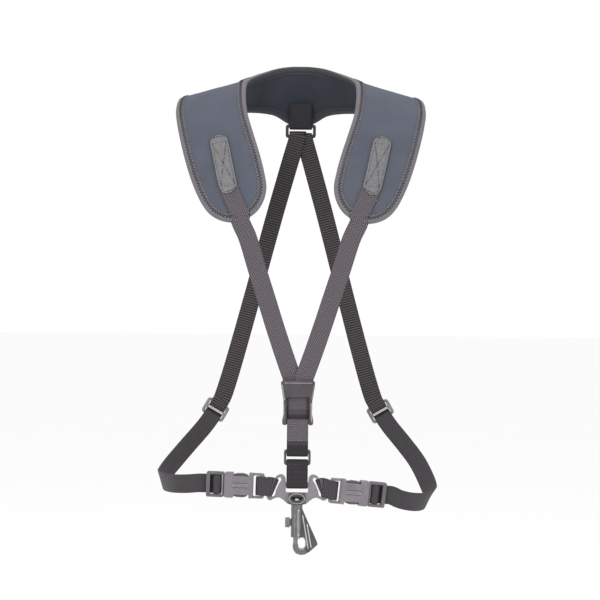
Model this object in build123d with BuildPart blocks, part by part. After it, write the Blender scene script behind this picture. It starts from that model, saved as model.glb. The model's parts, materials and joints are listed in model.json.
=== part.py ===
"""Chest harness: padded yoke, webbing straps, front slider, link plate and swivel snap hook.

Millimetres. +X is the right side seen from the front, -Y is the front (the chest side) and
+Z is up. The origin is on the shoulder line, midway between the two shoulder pads.
"""
import os
from math import atan2, cos, degrees, radians, sin

from build123d import *

os.makedirs("parts", exist_ok=True)

# ---- webbing -----------------------------------------------------------------------------
WEB_THICK = 1.5
CENTRE_WEB = 25.0
FRONT_WEB = 22.0
REAR_WEB = 21.5
LINK_WEB = 20.6
WEB_GAP = 0.3

# ---- yoke --------------------------------------------------------------------------------
PAD_THICK = 6.0
BINDING_THICK = 6.8
BINDING_WIDE = 3.2
BINDING_GAP = 0.35
PATCH_WIDE = 21.5
PATCH_THICK = 1.6

# Stations of the yoke from the back centre to the tip of one lobe: the neck-edge point and the
# arm-edge point, for the side at -X.
YOKE_STATIONS = [
    ((0.0, 63.0, 40.0), (0.0, 74.0, -35.4)),
    ((-10.0, 62.0, 39.8), (-9.5, 74.0, -34.0)),
    ((-18.5, 60.0, 38.8), (-19.0, 74.0, -29.8)),
    ((-27.0, 56.5, 37.0), (-33.0, 73.5, -21.6)),
    ((-36.0, 51.0, 33.6), (-52.0, 72.0, -18.2)),
    ((-47.0, 41.5, 28.0), (-78.0, 66.0, -18.0)),
    ((-56.0, 30.0, 22.5), (-108.0, 53.0, -18.5)),
    ((-63.0, 16.0, 17.0), (-134.0, 30.0, -15.5)),
    ((-67.4, 0.0, 9.5), (-149.1, 0.0, -12.0)),
    ((-67.9, -22.0, -8.9), (-152.5, -22.0, -27.3)),
    ((-65.0, -38.0, -31.6), (-150.0, -38.0, -44.5)),
    ((-57.3, -52.0, -57.3), (-144.6, -52.0, -67.5)),
    ((-49.7, -63.0, -81.2), (-137.8, -63.0, -92.0)),
    ((-43.5, -72.0, -104.7), (-130.0, -72.0, -115.4)),
    ((-40.4, -78.0, -124.2), (-122.0, -78.0, -134.0)),
    ((-43.3, -82.0, -139.5), (-113.4, -82.0, -149.0)),
    ((-50.4, -85.0, -152.0), (-104.3, -85.0, -158.6)),
    ((-61.5, -86.8, -160.8), (-92.0, -86.8, -164.6)),
]
LOBE_TIP = (-77.0, -87.3, -166.2)
# Where the front strap's centre line crosses those stations, as a share from neck to arm edge.
STRAP_ON_PAD = {11: 0.485, 12: 0.503, 13: 0.524, 14: 0.534, 15: 0.478, 16: 0.408, 17: 0.270}
PATCH_STATIONS = (11.1, 12, 13, 14.15)

# ---- centre front stack: Y of each layer -------------------------------------------------
OVER_STRAP_Y = -101.85
UNDER_STRAP_Y = -100.05
CENTRE_STRAP_Y = -98.25
PLATE_Y = -102.2

# ---- front slider ------------------------------------------------------------------------
SLIDER_TOP = -351.5
SLIDER_FRONT = -105.1
SLIDER_DEPTH = 10.4
SLIDER_LIP = 1.7
SLIDER_BAR_Z = -401.0

# ---- rectangular ring and link plate -----------------------------------------------------
RING_Z = -442.1
RING_WIDE = 31.4
RING_TALL = 18.6
RING_THICK = 4.0
RING_HOLE = (25.9, 8.0)
PLATE_THICK = 3.6
PLATE_BAR_TOP = -472.0
PLATE_SLOT_TOP = -477.2
PLATE_SLOT_BOTTOM = -483.3

# ---- swivel hook -------------------------------------------------------------------------
HOUSING_TOP = -483.7
HOUSING_BOTTOM = -497.2
HOUSING_WIDE = 19.5
HOUSING_DEEP = 9.0
STUD_R = 2.3
BARREL_X = -1.2
BARREL_R = 5.6
BARREL_TOP = -501.0
BARREL_BOTTOM = -535.8
ROD_R = 2.75
HOOK_TIP = -543.4
HOOK_THICK = 6.4
EYE_AT = (6.1, -542.5)
EYE_SIZE = (7.9, 12.8)

# ---- side-release buckle, local frame: x outward, y across, z to the front ---------------
BUCKLE_WIDE = 29.9
SOCKET_LONG = 47.2
BUCKLE_LONG = 68.2
SOCKET_THICK = 11.0
CAVITY = (25.2, 6.8)
NOTCH = (18.0, 36.3)
ARM_HINGE = (45.6, 9.5)
BUCKLES = {
    "left": ((-38.4, -102.2, -476.3), -1, 1.5, 3.0),
    "right": ((38.2, -102.2, -480.4), 1, -5.9, 13.0),
}

# ---- neck ring, rear straps and rear slides ----------------------------------------------
NECK_RING_Y = 65.8
NECK_RING_Z = -41.7
NECK_RING_SIZE = (38.7, 17.6, 3.4)
NECK_RING_HOLE = (31.0, 9.0)
TAB_WIDE = 28.8
TAB_THICK = 2.0
REAR_SLIDE = (106.0, 80.0, -399.5)
REAR_SLIDE_TILT = 30.0
REAR_SLIDE_SIZE = (31.5, 21.6, 4.0)


def mirrored(point, side):
    """The point on the given side, from its place on the -X side."""
    place = Vector(point)
    return Vector(-side * place.X, place.Y, place.Z)


def between(a, b, share):
    return a + (b - a) * share


def section_planes(points, across):
    """Planes square to a path, with x along the webbing's width."""
    planes = []
    for i, point in enumerate(points):
        before = points[max(i - 1, 0)]
        after = points[min(i + 1, len(points) - 1)]
        along = (after - before).normalized()
        wide = across[i] - along * across[i].dot(along)
        planes.append(Plane(origin=point, x_dir=wide.normalized(), z_dir=along))
    return planes


def webbing(name, points, across, width, thickness=WEB_THICK):
    """A flat band that follows the points, with the given width direction at each."""
    with BuildPart() as band:
        for plane in section_planes(points, across):
            with BuildSketch(plane):
                Rectangle(width, thickness)
        loft(ruled=True)
    save(band, name)


def smooth_path(controls, count):
    """Points and width directions sampled along a smooth curve through the controls."""
    edges = []
    for half in (-0.5, 0.5):
        with BuildLine() as guide:
            Spline(*[point + wide.normalized() * (20 * half) for point, wide in controls])
        edges.append(guide.edges()[0])
    points = []
    across = []
    for i in range(count):
        low = edges[0] @ (i / (count - 1))
        high = edges[1] @ (i / (count - 1))
        points.append((low + high) * 0.5)
        across.append((high - low).normalized())
    return points, across


def arc_points(centre, start, toward, half_turn, count=7):
    """Points round an arc that leaves centre + start in the direction of toward."""
    steps = [half_turn * i / (count - 1) for i in range(count)]
    return [centre + start * cos(radians(a)) + toward * sin(radians(a)) for a in steps]


def save(piece, name):
    piece.part.label = name
    export_step(piece.part, f"parts/{name}.step")


# ---- yoke --------------------------------------------------------------------------------
half = [(Vector(*neck), Vector(*arm)) for neck, arm in YOKE_STATIONS]
other_half = [(mirrored(neck, 1), mirrored(arm, 1)) for neck, arm in half[1:]]
stations = half[::-1] + other_half
CENTRE_STATION = len(half) - 1
left_tip = Vector(*LOBE_TIP)
right_tip = mirrored(left_tip, 1)
neck_edge = [left_tip] + [neck for neck, arm in stations] + [right_tip]
arm_edge = [left_tip] + [arm for neck, arm in stations] + [right_tip]


def surface_normals(count):
    """Outward normals of the yoke at each point of its edges."""
    normals = []
    last = len(stations) - 1
    for i in range(count):
        at = min(max(i - 1, 0), last)
        before = stations[max(at - 1, 0)]
        after = stations[min(at + 1, last)]
        along = (after[0] + after[1] - before[0] - before[1]).normalized()
        width = (stations[at][1] - stations[at][0]).normalized()
        normals.append(along.cross(width).normalized())
    return normals


normals = surface_normals(len(neck_edge))


def inset_edge(edge, opposite, distance):
    """The edge moved inward over the pad by the distance."""
    moved = []
    for i, point in enumerate(edge):
        before = edge[max(i - 1, 0)]
        after = edge[min(i + 1, len(edge) - 1)]
        inward = normals[i].cross(after - before).normalized()
        if inward.dot(opposite[i] - point) < 0:
            inward = inward * -1
        moved.append(point + inward * distance)
    return moved


pad_neck = inset_edge(neck_edge, arm_edge, BINDING_WIDE + BINDING_GAP)
pad_arm = inset_edge(arm_edge, neck_edge, BINDING_WIDE + BINDING_GAP)

with BuildPart() as yoke_pad:
    for i in range(1, len(neck_edge) - 1):
        neck = pad_neck[i]
        arm = pad_arm[i]
        wide = (arm - neck).normalized()
        middle = between(neck, arm, 0.5)
        with BuildSketch(Plane(origin=middle, x_dir=wide, z_dir=wide.cross(normals[i]))):
            Rectangle((arm - neck).length, PAD_THICK)
    loft(ruled=True)
save(yoke_pad, "yoke_pad")

for name, edge, opposite in (
    ("neck_binding", neck_edge, arm_edge),
    ("arm_binding", arm_edge, neck_edge),
):
    middle_line = inset_edge(edge, opposite, BINDING_WIDE / 2)
    middle_line[0] = between(middle_line[0], middle_line[1], 0.06)
    middle_line[-1] = between(middle_line[-1], middle_line[-2], 0.06)
    webbing(name, middle_line, normals, BINDING_THICK, BINDING_WIDE)


def on_pad(place, share, height):
    """A point above the front face of the -X lobe, its width direction and its normal."""
    low = int(place)
    rest = place - low
    near = half[low]
    far = half[min(low + 1, len(half) - 1)]
    neck = between(near[0], far[0], rest)
    arm = between(near[1], far[1], rest)
    index = CENTRE_STATION - low + 1
    normal = between(normals[index], normals[max(index - 1, 0)], rest).normalized()
    return between(neck, arm, share) + normal * height, (arm - neck).normalized(), normal


# ---- leather patches and front straps ----------------------------------------------------
strap_height = BINDING_THICK / 2 + 3.5 * WEB_GAP + WEB_THICK / 2
patch_height = strap_height + WEB_THICK / 2 + WEB_GAP + PATCH_THICK / 2
STRAP_RUN = [
    (-61.5, -90.8, -184.2),
    (-49.6, -93.8, -222.0),
    (-39.6, -96.6, -252.7),
    (-28.6, -98.6, -287.0),
]
STRAP_END = [(-18.7, -316.5), (-11.4, -337.3), (-6.9, -350.3), (-4.4, -362.0)]

for side_name, side, layer in (("left", -1, UNDER_STRAP_Y), ("right", 1, OVER_STRAP_Y)):
    patch_points = []
    patch_across = []
    for place in PATCH_STATIONS:
        low = int(place)
        share = STRAP_ON_PAD[low] + (STRAP_ON_PAD[low + 1] - STRAP_ON_PAD[low]) * (place - low)
        point, wide, normal = on_pad(place, share, patch_height)
        patch_points.append(mirrored(point, side))
        patch_across.append(mirrored(wide, side))
    webbing(f"{side_name}_patch", patch_points, patch_across, PATCH_WIDE, PATCH_THICK)

    strap_points = []
    strap_across = []
    for low, share in STRAP_ON_PAD.items():
        point, wide, normal = on_pad(low, share, strap_height)
        strap_points.append(mirrored(point, side))
        strap_across.append(mirrored(wide, side))
    for point in STRAP_RUN:
        strap_points.append(mirrored(point, side))
        strap_across.append(mirrored((-0.95, 0.0, -0.31), side))
    for x, z in STRAP_END:
        strap_points.append(mirrored((x, layer, z), side))
        strap_across.append(mirrored((-0.95, 0.0, -0.31), side))
    strap_across[-1] = mirrored((-1.0, 0.0, -0.1), side)
    webbing(f"{side_name}_front_strap", strap_points, strap_across, FRONT_WEB)

# ---- centre webbing: rear ply down to the ring, front ply up round the slider's bar --------
X_WIDE = Vector(1, 0, 0)
ring_bar_z = RING_Z + RING_HOLE[1] / 2
ring_turn = RING_THICK / 2 + WEB_GAP + WEB_THICK / 2
ring_bend = Vector(0, PLATE_Y, ring_bar_z + 1.6)
quarter = arc_points(ring_bend, Vector(0, ring_turn, 0), Vector(0, 0, -ring_turn), 84, 5)
centre_path = [
    Vector(0, CENTRE_STRAP_Y, -349.0),
    Vector(0, CENTRE_STRAP_Y, -405.0),
    Vector(0, CENTRE_STRAP_Y, -422.0),
] + quarter
webbing("centre_strap", centre_path, [X_WIDE] * len(centre_path), CENTRE_WEB)

slider_bar_y = SLIDER_FRONT + 2.35
slider_turn = 1.45 + WEB_GAP + WEB_THICK / 2
slider_bend = Vector(0, slider_bar_y, SLIDER_BAR_Z + 0.9)
front_quarter = arc_points(ring_bend, Vector(0, -ring_turn, 0), Vector(0, 0, -ring_turn), 84, 5)
over_bar = arc_points(slider_bend, Vector(0, -slider_turn, 0), Vector(0, 0, slider_turn), 180, 9)
loop_path = (
    front_quarter[::-1]
    + [Vector(0, slider_bar_y - slider_turn, -415.0)]
    + over_bar
    + [Vector(0, slider_bar_y + slider_turn, -421.0)]
)
webbing("slider_loop", loop_path, [X_WIDE] * len(loop_path), CENTRE_WEB)

# ---- front slider ------------------------------------------------------------------------
slider_face = Plane(origin=(0, SLIDER_FRONT, SLIDER_TOP), x_dir=(1, 0, 0), z_dir=(0, -1, 0))
with BuildPart() as front_slider:
    with BuildSketch(slider_face) as slider_outline:
        with BuildLine():
            Polyline(
                (-20.6, 0.0), (20.6, 0.0), (19.6, -8.0), (16.9, -25.0), (16.8, -40.0),
                (18.2, -46.5), (18.2, -52.9), (-18.2, -52.9), (-18.2, -46.5), (-16.8, -40.0),
                (-16.9, -25.0), (-19.6, -8.0), (-20.6, 0.0),
            )
        make_face()
        fillet(slider_outline.vertices().group_by(Axis.Y)[-1], 4.0)
        fillet(slider_outline.vertices().group_by(Axis.Y)[0], 2.4)
    extrude(amount=-SLIDER_DEPTH)
    # The webbing's channel behind the lip, open at the top, the bottom and the back.
    with BuildSketch(slider_face.offset(-SLIDER_LIP)):
        with BuildLine():
            Polyline(
                (-19.4, 1.0), (19.4, 1.0), (16.9, -12.0), (13.4, -20.0), (13.4, -60.0),
                (-13.4, -60.0), (-13.4, -20.0), (-16.9, -12.0), (-19.4, 1.0),
            )
        make_face()
    extrude(amount=-SLIDER_DEPTH, mode=Mode.SUBTRACT)
    with BuildSketch(slider_face):
        with Locations((0, -33.6)):
            Rectangle(26.8, 27.4)
        with Locations((0, -51)):
            Rectangle(26.8, 8)
    extrude(amount=-SLIDER_DEPTH, mode=Mode.SUBTRACT)
    outer = front_slider.faces().sort_by(Axis.Y)[0].outer_wire().edges()
    fillet(outer, 0.9)
    # Rear cross bar that grips the webbing.
    with BuildSketch(Plane.YZ.offset(-14.2)):
        with Locations((-96.0, SLIDER_TOP - 34.0)):
            RectangleRounded(2.4, 5.0, 0.8)
    extrude(amount=28.4)
    # Lower bar that the front ply is sewn round.
    with BuildSketch(Plane.YZ.offset(-14.2)):
        with Locations((slider_bar_y, SLIDER_BAR_Z)):
            RectangleRounded(2.9, 5.0, 1.2)
    extrude(amount=28.4)
save(front_slider, "front_slider")

# ---- rectangular ring ---------------------------------------------------------------------
ring_face = Plane(origin=(0, PLATE_Y, RING_Z), x_dir=(1, 0, 0), z_dir=(0, -1, 0))
with BuildPart() as centre_ring:
    with BuildSketch(ring_face):
        RectangleRounded(RING_WIDE, RING_TALL, 3.0)
        RectangleRounded(*RING_HOLE, 0.8, mode=Mode.SUBTRACT)
    extrude(amount=RING_THICK / 2, both=True)
    long_edges = centre_ring.edges().filter_by(Axis.X).filter_by(lambda e: e.length > 20)
    fillet(long_edges, 1.2)
save(centre_ring, "centre_ring")

# ---- webbing loop between the ring and the link plate --------------------------------------
loop_top = RING_Z - RING_HOLE[1] / 2 + WEB_GAP
loop_bottom = PLATE_SLOT_TOP - WEB_GAP
loop_inner = RING_THICK / 2 + WEB_GAP
with BuildPart() as lower_loop:
    with BuildSketch(Plane.YZ):
        with Locations((PLATE_Y, (loop_top + loop_bottom) / 2)):
            RectangleRounded(
                2 * (loop_inner + WEB_THICK), loop_top - loop_bottom + 2 * WEB_THICK, 2.2
            )
            RectangleRounded(2 * loop_inner, loop_top - loop_bottom, 0.5, mode=Mode.SUBTRACT)
    extrude(amount=CENTRE_WEB / 2, both=True)
save(lower_loop, "lower_loop")

# ---- link plate ----------------------------------------------------------------------------
WING = [
    (-13.0, PLATE_BAR_TOP), (-13.8, -465.5), (-16.2, -462.6), (-19.2, -462.0), (-23.2, -463.4),
    (-26.4, -467.2), (-30.6, -476.5), (-34.9, -486.2), (-35.6, -489.6), (-33.8, -492.4),
    (-30.4, -492.8), (-26.6, -490.6), (-22.6, -489.2), (-18.6, -490.4), (-14.6, -493.6),
    (-10.4, -497.1),
]
WING_SLOT = [
    (-19.0, -466.2), (-21.4, -466.0), (-24.0, -468.6), (-28.0, -477.6), (-31.8, -486.4),
    (-31.2, -489.0), (-27.6, -488.2), (-25.8, -486.6), (-24.8, -481.0), (-21.6, -473.8),
    (-18.4, -469.0),
]
PLATE_BAR_TOP_AT = Vector(-24.9, PLATE_Y, -467.3)
PLATE_BAR_END_AT = Vector(-33.5, PLATE_Y, -487.3)
plate_face = Plane(origin=(0, PLATE_Y, 0), x_dir=(1, 0, 0), z_dir=(0, -1, 0))
with BuildPart() as hook_plate:
    with BuildSketch(plate_face) as plate_outline:
        with BuildLine():
            Polyline(*WING, *[(-x, z) for x, z in WING[::-1]], WING[0])
        make_face()
        with BuildLine():
            Polyline(*WING_SLOT, WING_SLOT[0])
        make_face(mode=Mode.SUBTRACT)
        with BuildLine():
            Polyline(*[(-x, z) for x, z in WING_SLOT], (-WING_SLOT[0][0], WING_SLOT[0][1]))
        make_face(mode=Mode.SUBTRACT)
        with Locations((0, (PLATE_SLOT_TOP + PLATE_SLOT_BOTTOM) / 2)):
            RectangleRounded(26.0, PLATE_SLOT_TOP - PLATE_SLOT_BOTTOM, 0.8, mode=Mode.SUBTRACT)
    extrude(amount=PLATE_THICK / 2, both=True)
    with BuildSketch(plate_face) as housing_outline:
        with Locations((0, (HOUSING_TOP + HOUSING_BOTTOM) / 2)):
            RectangleRounded(HOUSING_WIDE, HOUSING_TOP - HOUSING_BOTTOM, 2.2)
    extrude(amount=HOUSING_DEEP / 2, both=True)
    with BuildSketch(plate_face):
        with Locations((0, -489.9)):
            SlotOverall(14.4, 7.0)
    extrude(amount=HOUSING_DEEP, both=True, mode=Mode.SUBTRACT)
    with BuildSketch(Plane.XY.offset(-500)):
        with Locations((0, PLATE_Y)):
            Circle(STUD_R + 0.3)
    extrude(amount=8, mode=Mode.SUBTRACT)
save(hook_plate, "hook_plate")

# ---- swivel stud ---------------------------------------------------------------------------
with BuildPart() as swivel_stud:
    with BuildSketch(Plane.XY.offset(-493.1)):
        with Locations((0, PLATE_Y)):
            Circle(4.2)
    extrude(amount=3.2)
    fillet(swivel_stud.edges().filter_by(GeomType.CIRCLE).sort_by(Axis.Z)[-1], 1.1)
    with BuildSketch(Plane.XY.offset(-493.1)):
        with Locations((0, PLATE_Y)):
            Circle(STUD_R)
    extrude(amount=-8.2)
save(swivel_stud, "swivel_stud")

# ---- hook body -----------------------------------------------------------------------------
HOOK_OUTLINE = [
    (2.0, -502.0), (6.4, -502.0), (13.3, -517.4), (24.3, -541.1), (24.9, -544.2), (15.4, -552.7),
    (10.1, -555.8), (4.8, -556.6), (-0.4, -554.9), (-3.4, -551.0), (-4.5, -546.4),
    (-4.4, HOOK_TIP), (2.2, HOOK_TIP), (2.2, BARREL_BOTTOM + 1.0),
]
hook_face = Plane(origin=(0, PLATE_Y, 0), x_dir=(1, 0, 0), z_dir=(0, -1, 0))
with BuildPart() as hook_body:
    with BuildSketch(hook_face) as blade:
        with BuildLine():
            Polyline(*HOOK_OUTLINE, HOOK_OUTLINE[0])
        make_face()
        with Locations(EYE_AT):
            SlotOverall(EYE_SIZE[1], EYE_SIZE[0], 90, mode=Mode.SUBTRACT)
    extrude(amount=HOOK_THICK / 2, both=True)
    # Barrel for the plunger.
    with BuildSketch(Plane.XY.offset(BARREL_BOTTOM)):
        with Locations((BARREL_X, PLATE_Y)):
            Circle(BARREL_R)
    extrude(amount=BARREL_TOP - BARREL_BOTTOM)
    # Cap that turns under the plate's housing.
    with BuildSketch(Plane.XY.offset(BARREL_TOP - 1.5)):
        with Locations((0, PLATE_Y)):
            Circle(6.8)
    extrude(amount=5.0)
    # Two moulded ribs on each face of the blade.
    for foot, head in (((13.9, -549.5), (6.9, -509.0)), ((17.4, -548.0), (12.2, -519.5))):
        run = Vector(*head) - Vector(*foot)
        with BuildSketch(hook_face):
            with Locations(between(Vector(*foot), Vector(*head), 0.5)):
                SlotCenterToCenter(run.length, 1.1, degrees(atan2(run.Y, run.X)))
        extrude(amount=HOOK_THICK / 2 + 0.5, both=True)
    # Bores: the stud's seat, the spring chamber and the rod's guide.
    with BuildSketch(Plane.XY.offset(-497.0)):
        with Locations((0, PLATE_Y)):
            Circle(STUD_R + 0.05)
    extrude(amount=-4.4, mode=Mode.SUBTRACT)
    with BuildSketch(Plane.XY.offset(-503.0)):
        with Locations((BARREL_X, PLATE_Y)):
            Circle(4.3)
    extrude(amount=-28.5, mode=Mode.SUBTRACT)
    with BuildSketch(Plane.XY.offset(-530.0)):
        with Locations((BARREL_X, PLATE_Y)):
            Circle(ROD_R + 0.25)
    extrude(amount=-6.5, mode=Mode.SUBTRACT)
    # Slot that the thumb knob's stem runs in.
    with BuildSketch(Plane.XZ.offset(-PLATE_Y)):
        with Locations((BARREL_X - 5.0, -514.8)):
            Rectangle(6.0, 18.0)
    extrude(amount=1.8, both=True, mode=Mode.SUBTRACT)
save(hook_body, "hook_body")

# ---- plunger, thumb knob and spring --------------------------------------------------------
with BuildPart() as plunger:
    with BuildSketch(Plane.XY.offset(HOOK_TIP + 0.25)):
        with Locations((BARREL_X, PLATE_Y)):
            Circle(ROD_R)
    extrude(amount=-514.0 - HOOK_TIP - 0.25)
    with BuildSketch(Plane.XY.offset(-523.0)):
        with Locations((BARREL_X, PLATE_Y)):
            Circle(4.0)
    extrude(amount=9.0)
    with BuildSketch(Plane.XY.offset(-514.0)):
        with Locations((BARREL_X, PLATE_Y)):
            Circle(1.6)
    extrude(amount=3.0)
    with BuildSketch(Plane.YZ.offset(BARREL_X - 4.5)):
        with Locations((PLATE_Y, -518.5)):
            Rectangle(2.1, 5.1)
    extrude(amount=3.5, mode=Mode.SUBTRACT)
save(plunger, "plunger")

with BuildPart() as thumb_knob:
    with BuildSketch(Plane.YZ.offset(BARREL_X - 7.0)):
        with Locations((PLATE_Y, -518.5)):
            RectangleRounded(8.4, 12.4, 2.6)
    extrude(amount=-5.4, taper=7)
    with BuildSketch(Plane.YZ.offset(BARREL_X - 7.2)):
        with Locations((PLATE_Y, -518.5)):
            Rectangle(2.8, 8.6)
    extrude(amount=3.1)
    with BuildSketch(Plane.YZ.offset(BARREL_X - 4.2)):
        with Locations((PLATE_Y, -518.5)):
            Rectangle(2.0, 5.0)
    extrude(amount=2.9)
save(thumb_knob, "thumb_knob")

with BuildPart() as plunger_spring:
    with BuildSketch(Plane.XY.offset(-513.9)):
        with Locations((BARREL_X, PLATE_Y)):
            Circle(3.4)
            Circle(2.2, mode=Mode.SUBTRACT)
    extrude(amount=10.8)
save(plunger_spring, "plunger_spring")


# ---- side-release buckles ------------------------------------------------------------------
def buckle_plane(side_name):
    """The buckle's local frame: x outward from the link loop, z to the front."""
    origin, side, rise, yaw = BUCKLES[side_name]
    out = Vector(
        side * cos(radians(rise)) * cos(radians(yaw)),
        sin(radians(yaw)),
        sin(radians(rise)),
    )
    front = Vector(0, -1, 0)
    front = (front - out * front.dot(out)).normalized()
    return Plane(origin=origin, x_dir=out, z_dir=front)


def make_socket(side_name):
    base = buckle_plane(side_name)
    with BuildPart() as socket:
        with BuildSketch(base) as shell:
            with Locations((30.1, 0)):
                Rectangle(34.2, BUCKLE_WIDE)
            fillet(shell.vertices(), 2.4)
        extrude(amount=SOCKET_THICK / 2, both=True)
        fillet(socket.faces().filter_by(Axis((0, 0, 0), base.z_dir)).edges(), 1.3)
        with BuildSketch(base) as frame:
            with Locations((8.0, 0)):
                RectangleRounded(16.0, BUCKLE_WIDE, 2.6)
            with Locations((8.7, 0)):
                Rectangle(8.6, 24.0, mode=Mode.SUBTRACT)
        extrude(amount=2.0, both=True)
        with BuildSketch(base):
            with Locations((8.7, 0)):
                Rectangle(8.6, 24.0)
        extrude(amount=SOCKET_THICK, both=True, mode=Mode.SUBTRACT)
        with BuildSketch(base):
            with Locations((33.0, 0)):
                Rectangle(34.0, CAVITY[0])
        extrude(amount=CAVITY[1] / 2, both=True, mode=Mode.SUBTRACT)
        with BuildSketch(base):
            for across in (-1, 1):
                with Locations(((NOTCH[0] + NOTCH[1]) / 2, across * 13.8)):
                    Rectangle(NOTCH[1] - NOTCH[0], 6.0)
        extrude(amount=SOCKET_THICK, both=True, mode=Mode.SUBTRACT)
    save(socket, f"{side_name}_buckle_socket")


def make_plug(side_name):
    base = buckle_plane(side_name)
    with BuildPart() as plug:
        with BuildSketch(base) as frame:
            with Locations((57.85, 0)):
                RectangleRounded(20.7, BUCKLE_WIDE, 2.0)
            with Locations((56.75, 0)):
                Rectangle(14.5, 23.4, mode=Mode.SUBTRACT)
        extrude(amount=3.4, both=True)
        with BuildSketch(base):
            with Locations((56.0, 0)):
                Rectangle(4.2, 25.0)
        extrude(amount=1.3, both=True)
        with BuildSketch(base):
            with Locations((36.5, 0)):
                Rectangle(23.0, 5.6)
        extrude(amount=2.2, both=True)
    save(plug, f"{side_name}_buckle_plug")


def make_arm(side_name, across, level):
    base = buckle_plane(side_name)
    outline = [
        (46.4, 8.3), (46.9, 9.5), (46.4, 10.7), (36.6, 10.4), (35.6, 10.9), (35.6, 12.9),
        (32.6, 13.9), (25.0, 14.2), (20.4, 12.9), (18.6, 10.2), (18.9, 8.8), (22.0, 8.4),
    ]
    with BuildPart() as arm:
        with BuildSketch(base) as profile:
            with BuildLine():
                Polyline(*[(x, across * y) for x, y in outline], (46.4, across * 8.3))
            make_face()
        extrude(amount=2.9, both=True)
    save(arm, f"{side_name}_release_arm_{level}")


for side_name, side in (("left", -1), ("right", 1)):
    make_socket(side_name)
    make_plug(side_name)
    make_arm(side_name, side, "upper")
    make_arm(side_name, -side, "lower")

# ---- link loops between the buckles and the plate -------------------------------------------
LINK_BAR_HALF = 2.2
WING_BAR_HALF = 2.6
for side_name, side in (("left", -1), ("right", 1)):
    base = buckle_plane(side_name)
    bar_mid = base.from_local_coords(Vector(LINK_BAR_HALF, 0, 0))
    bar_axis = base.y_dir if base.y_dir.Z > 0 else base.y_dir * -1
    wing_top = mirrored(PLATE_BAR_TOP_AT, side)
    wing_end = mirrored(PLATE_BAR_END_AT, side)
    wing_mid = between(wing_top, wing_end, 0.5)
    wing_axis = (wing_top - wing_end).normalized()
    wing_inward = Vector(0, 1, 0).cross(wing_axis) * -side
    front = Vector(0, -1, 0)
    at_buckle = LINK_BAR_HALF + 0.85 + WEB_THICK / 2
    at_wing = WING_BAR_HALF + WEB_THICK / 2
    buckle_turn = arc_points(
        bar_mid, base.z_dir * at_buckle, base.x_dir * at_buckle, 180, 9
    )
    wing_turn = arc_points(wing_mid, front * -at_wing, wing_inward * at_wing, 180, 9)
    seam_low = between(buckle_turn[-1], wing_turn[0], 0.45)
    seam_high = between(buckle_turn[-1], wing_turn[0], 0.55)
    path = [seam_high] + wing_turn + buckle_turn + [seam_low]
    seam_across = (bar_axis + wing_axis).normalized()
    across = [seam_across] + [wing_axis] * 9 + [bar_axis] * 9 + [seam_across]
    webbing(f"{side_name}_link_loop", path, across, LINK_WEB)


# ---- neck tab and neck ring ------------------------------------------------------------------
tab_turn = NECK_RING_SIZE[2] / 2 + WEB_GAP + TAB_THICK / 2
tab_bend = Vector(0, NECK_RING_Y, NECK_RING_Z + NECK_RING_HOLE[1] / 2 + 1.3)
tab_arc = arc_points(tab_bend, Vector(0, -tab_turn, 0), Vector(0, 0, -tab_turn), 180, 9)
tab_path = [Vector(0, 61.2, -7.3), Vector(0, 62.4, -24.0)] + tab_arc + [Vector(0, 68.2, -28.0)]
tab_path = tab_path + [Vector(0, 65.5, -9.5)]
webbing("neck_tab", tab_path, [X_WIDE] * len(tab_path), TAB_WIDE, TAB_THICK)

neck_face = Plane(origin=(0, NECK_RING_Y, NECK_RING_Z), x_dir=(1, 0, 0), z_dir=(0, -1, 0))
with BuildPart() as neck_ring:
    with BuildSketch(neck_face):
        RectangleRounded(NECK_RING_SIZE[0], NECK_RING_SIZE[1], 3.6)
        RectangleRounded(*NECK_RING_HOLE, 1.0, mode=Mode.SUBTRACT)
    extrude(amount=NECK_RING_SIZE[2] / 2, both=True)
    fillet(neck_ring.edges().filter_by(Axis.X).filter_by(lambda e: e.length > 20), 1.4)
save(neck_ring, "neck_ring")


# ---- rear slides, rear straps and side straps -------------------------------------------------
def slide_plane(side):
    """The rear slide's frame: x along its bars, y up along the strap, z to the front."""
    centre = mirrored((-REAR_SLIDE[0], REAR_SLIDE[1], REAR_SLIDE[2]), side)
    tilt = radians(REAR_SLIDE_TILT)
    return Plane(origin=centre, x_dir=(cos(tilt), 0, side * sin(tilt)), z_dir=(0, -1, 0))


SIDE_ROUTES = {
    "left": [
        ((-119.5, 75.5, -420.3), (-0.82, 0.0, 0.57)),
        ((-141.0, 65.5, -445.5), (-0.78, 0.0, 0.63)),
        ((-157.0, 47.0, -464.5), (-0.68, 0.0, 0.73)),
        ((-166.5, 20.0, -476.5), (-0.46, 0.0, 0.89)),
        ((-168.0, -10.0, -479.5), (-0.3, 0.0, 0.95)),
        ((-161.0, -42.0, -479.5), (-0.16, 0.0, 0.98)),
        ((-145.0, -76.0, -477.5), (-0.04, 0.0, 1.0)),
        ((-128.0, -92.0, -475.5), (0.0, 0.0, 1.0)),
    ],
    "right": [
        ((119.0, 75.5, -419.5), (0.83, 0.0, 0.56)),
        ((136.5, 67.0, -440.5), (0.83, 0.0, 0.56)),
        ((152.0, 50.0, -461.0), (0.86, 0.0, 0.51)),
        ((163.0, 22.0, -484.0), (0.8, 0.0, 0.6)),
        ((165.0, -5.0, -495.5), (0.58, 0.0, 0.81)),
        ((156.5, -34.0, -500.0), (0.28, 0.0, 0.96)),
        ((139.0, -62.0, -498.0), (0.06, 0.0, 1.0)),
        ((122.0, -77.0, -493.0), (-0.02, 0.0, 1.0)),
    ],
}
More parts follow.
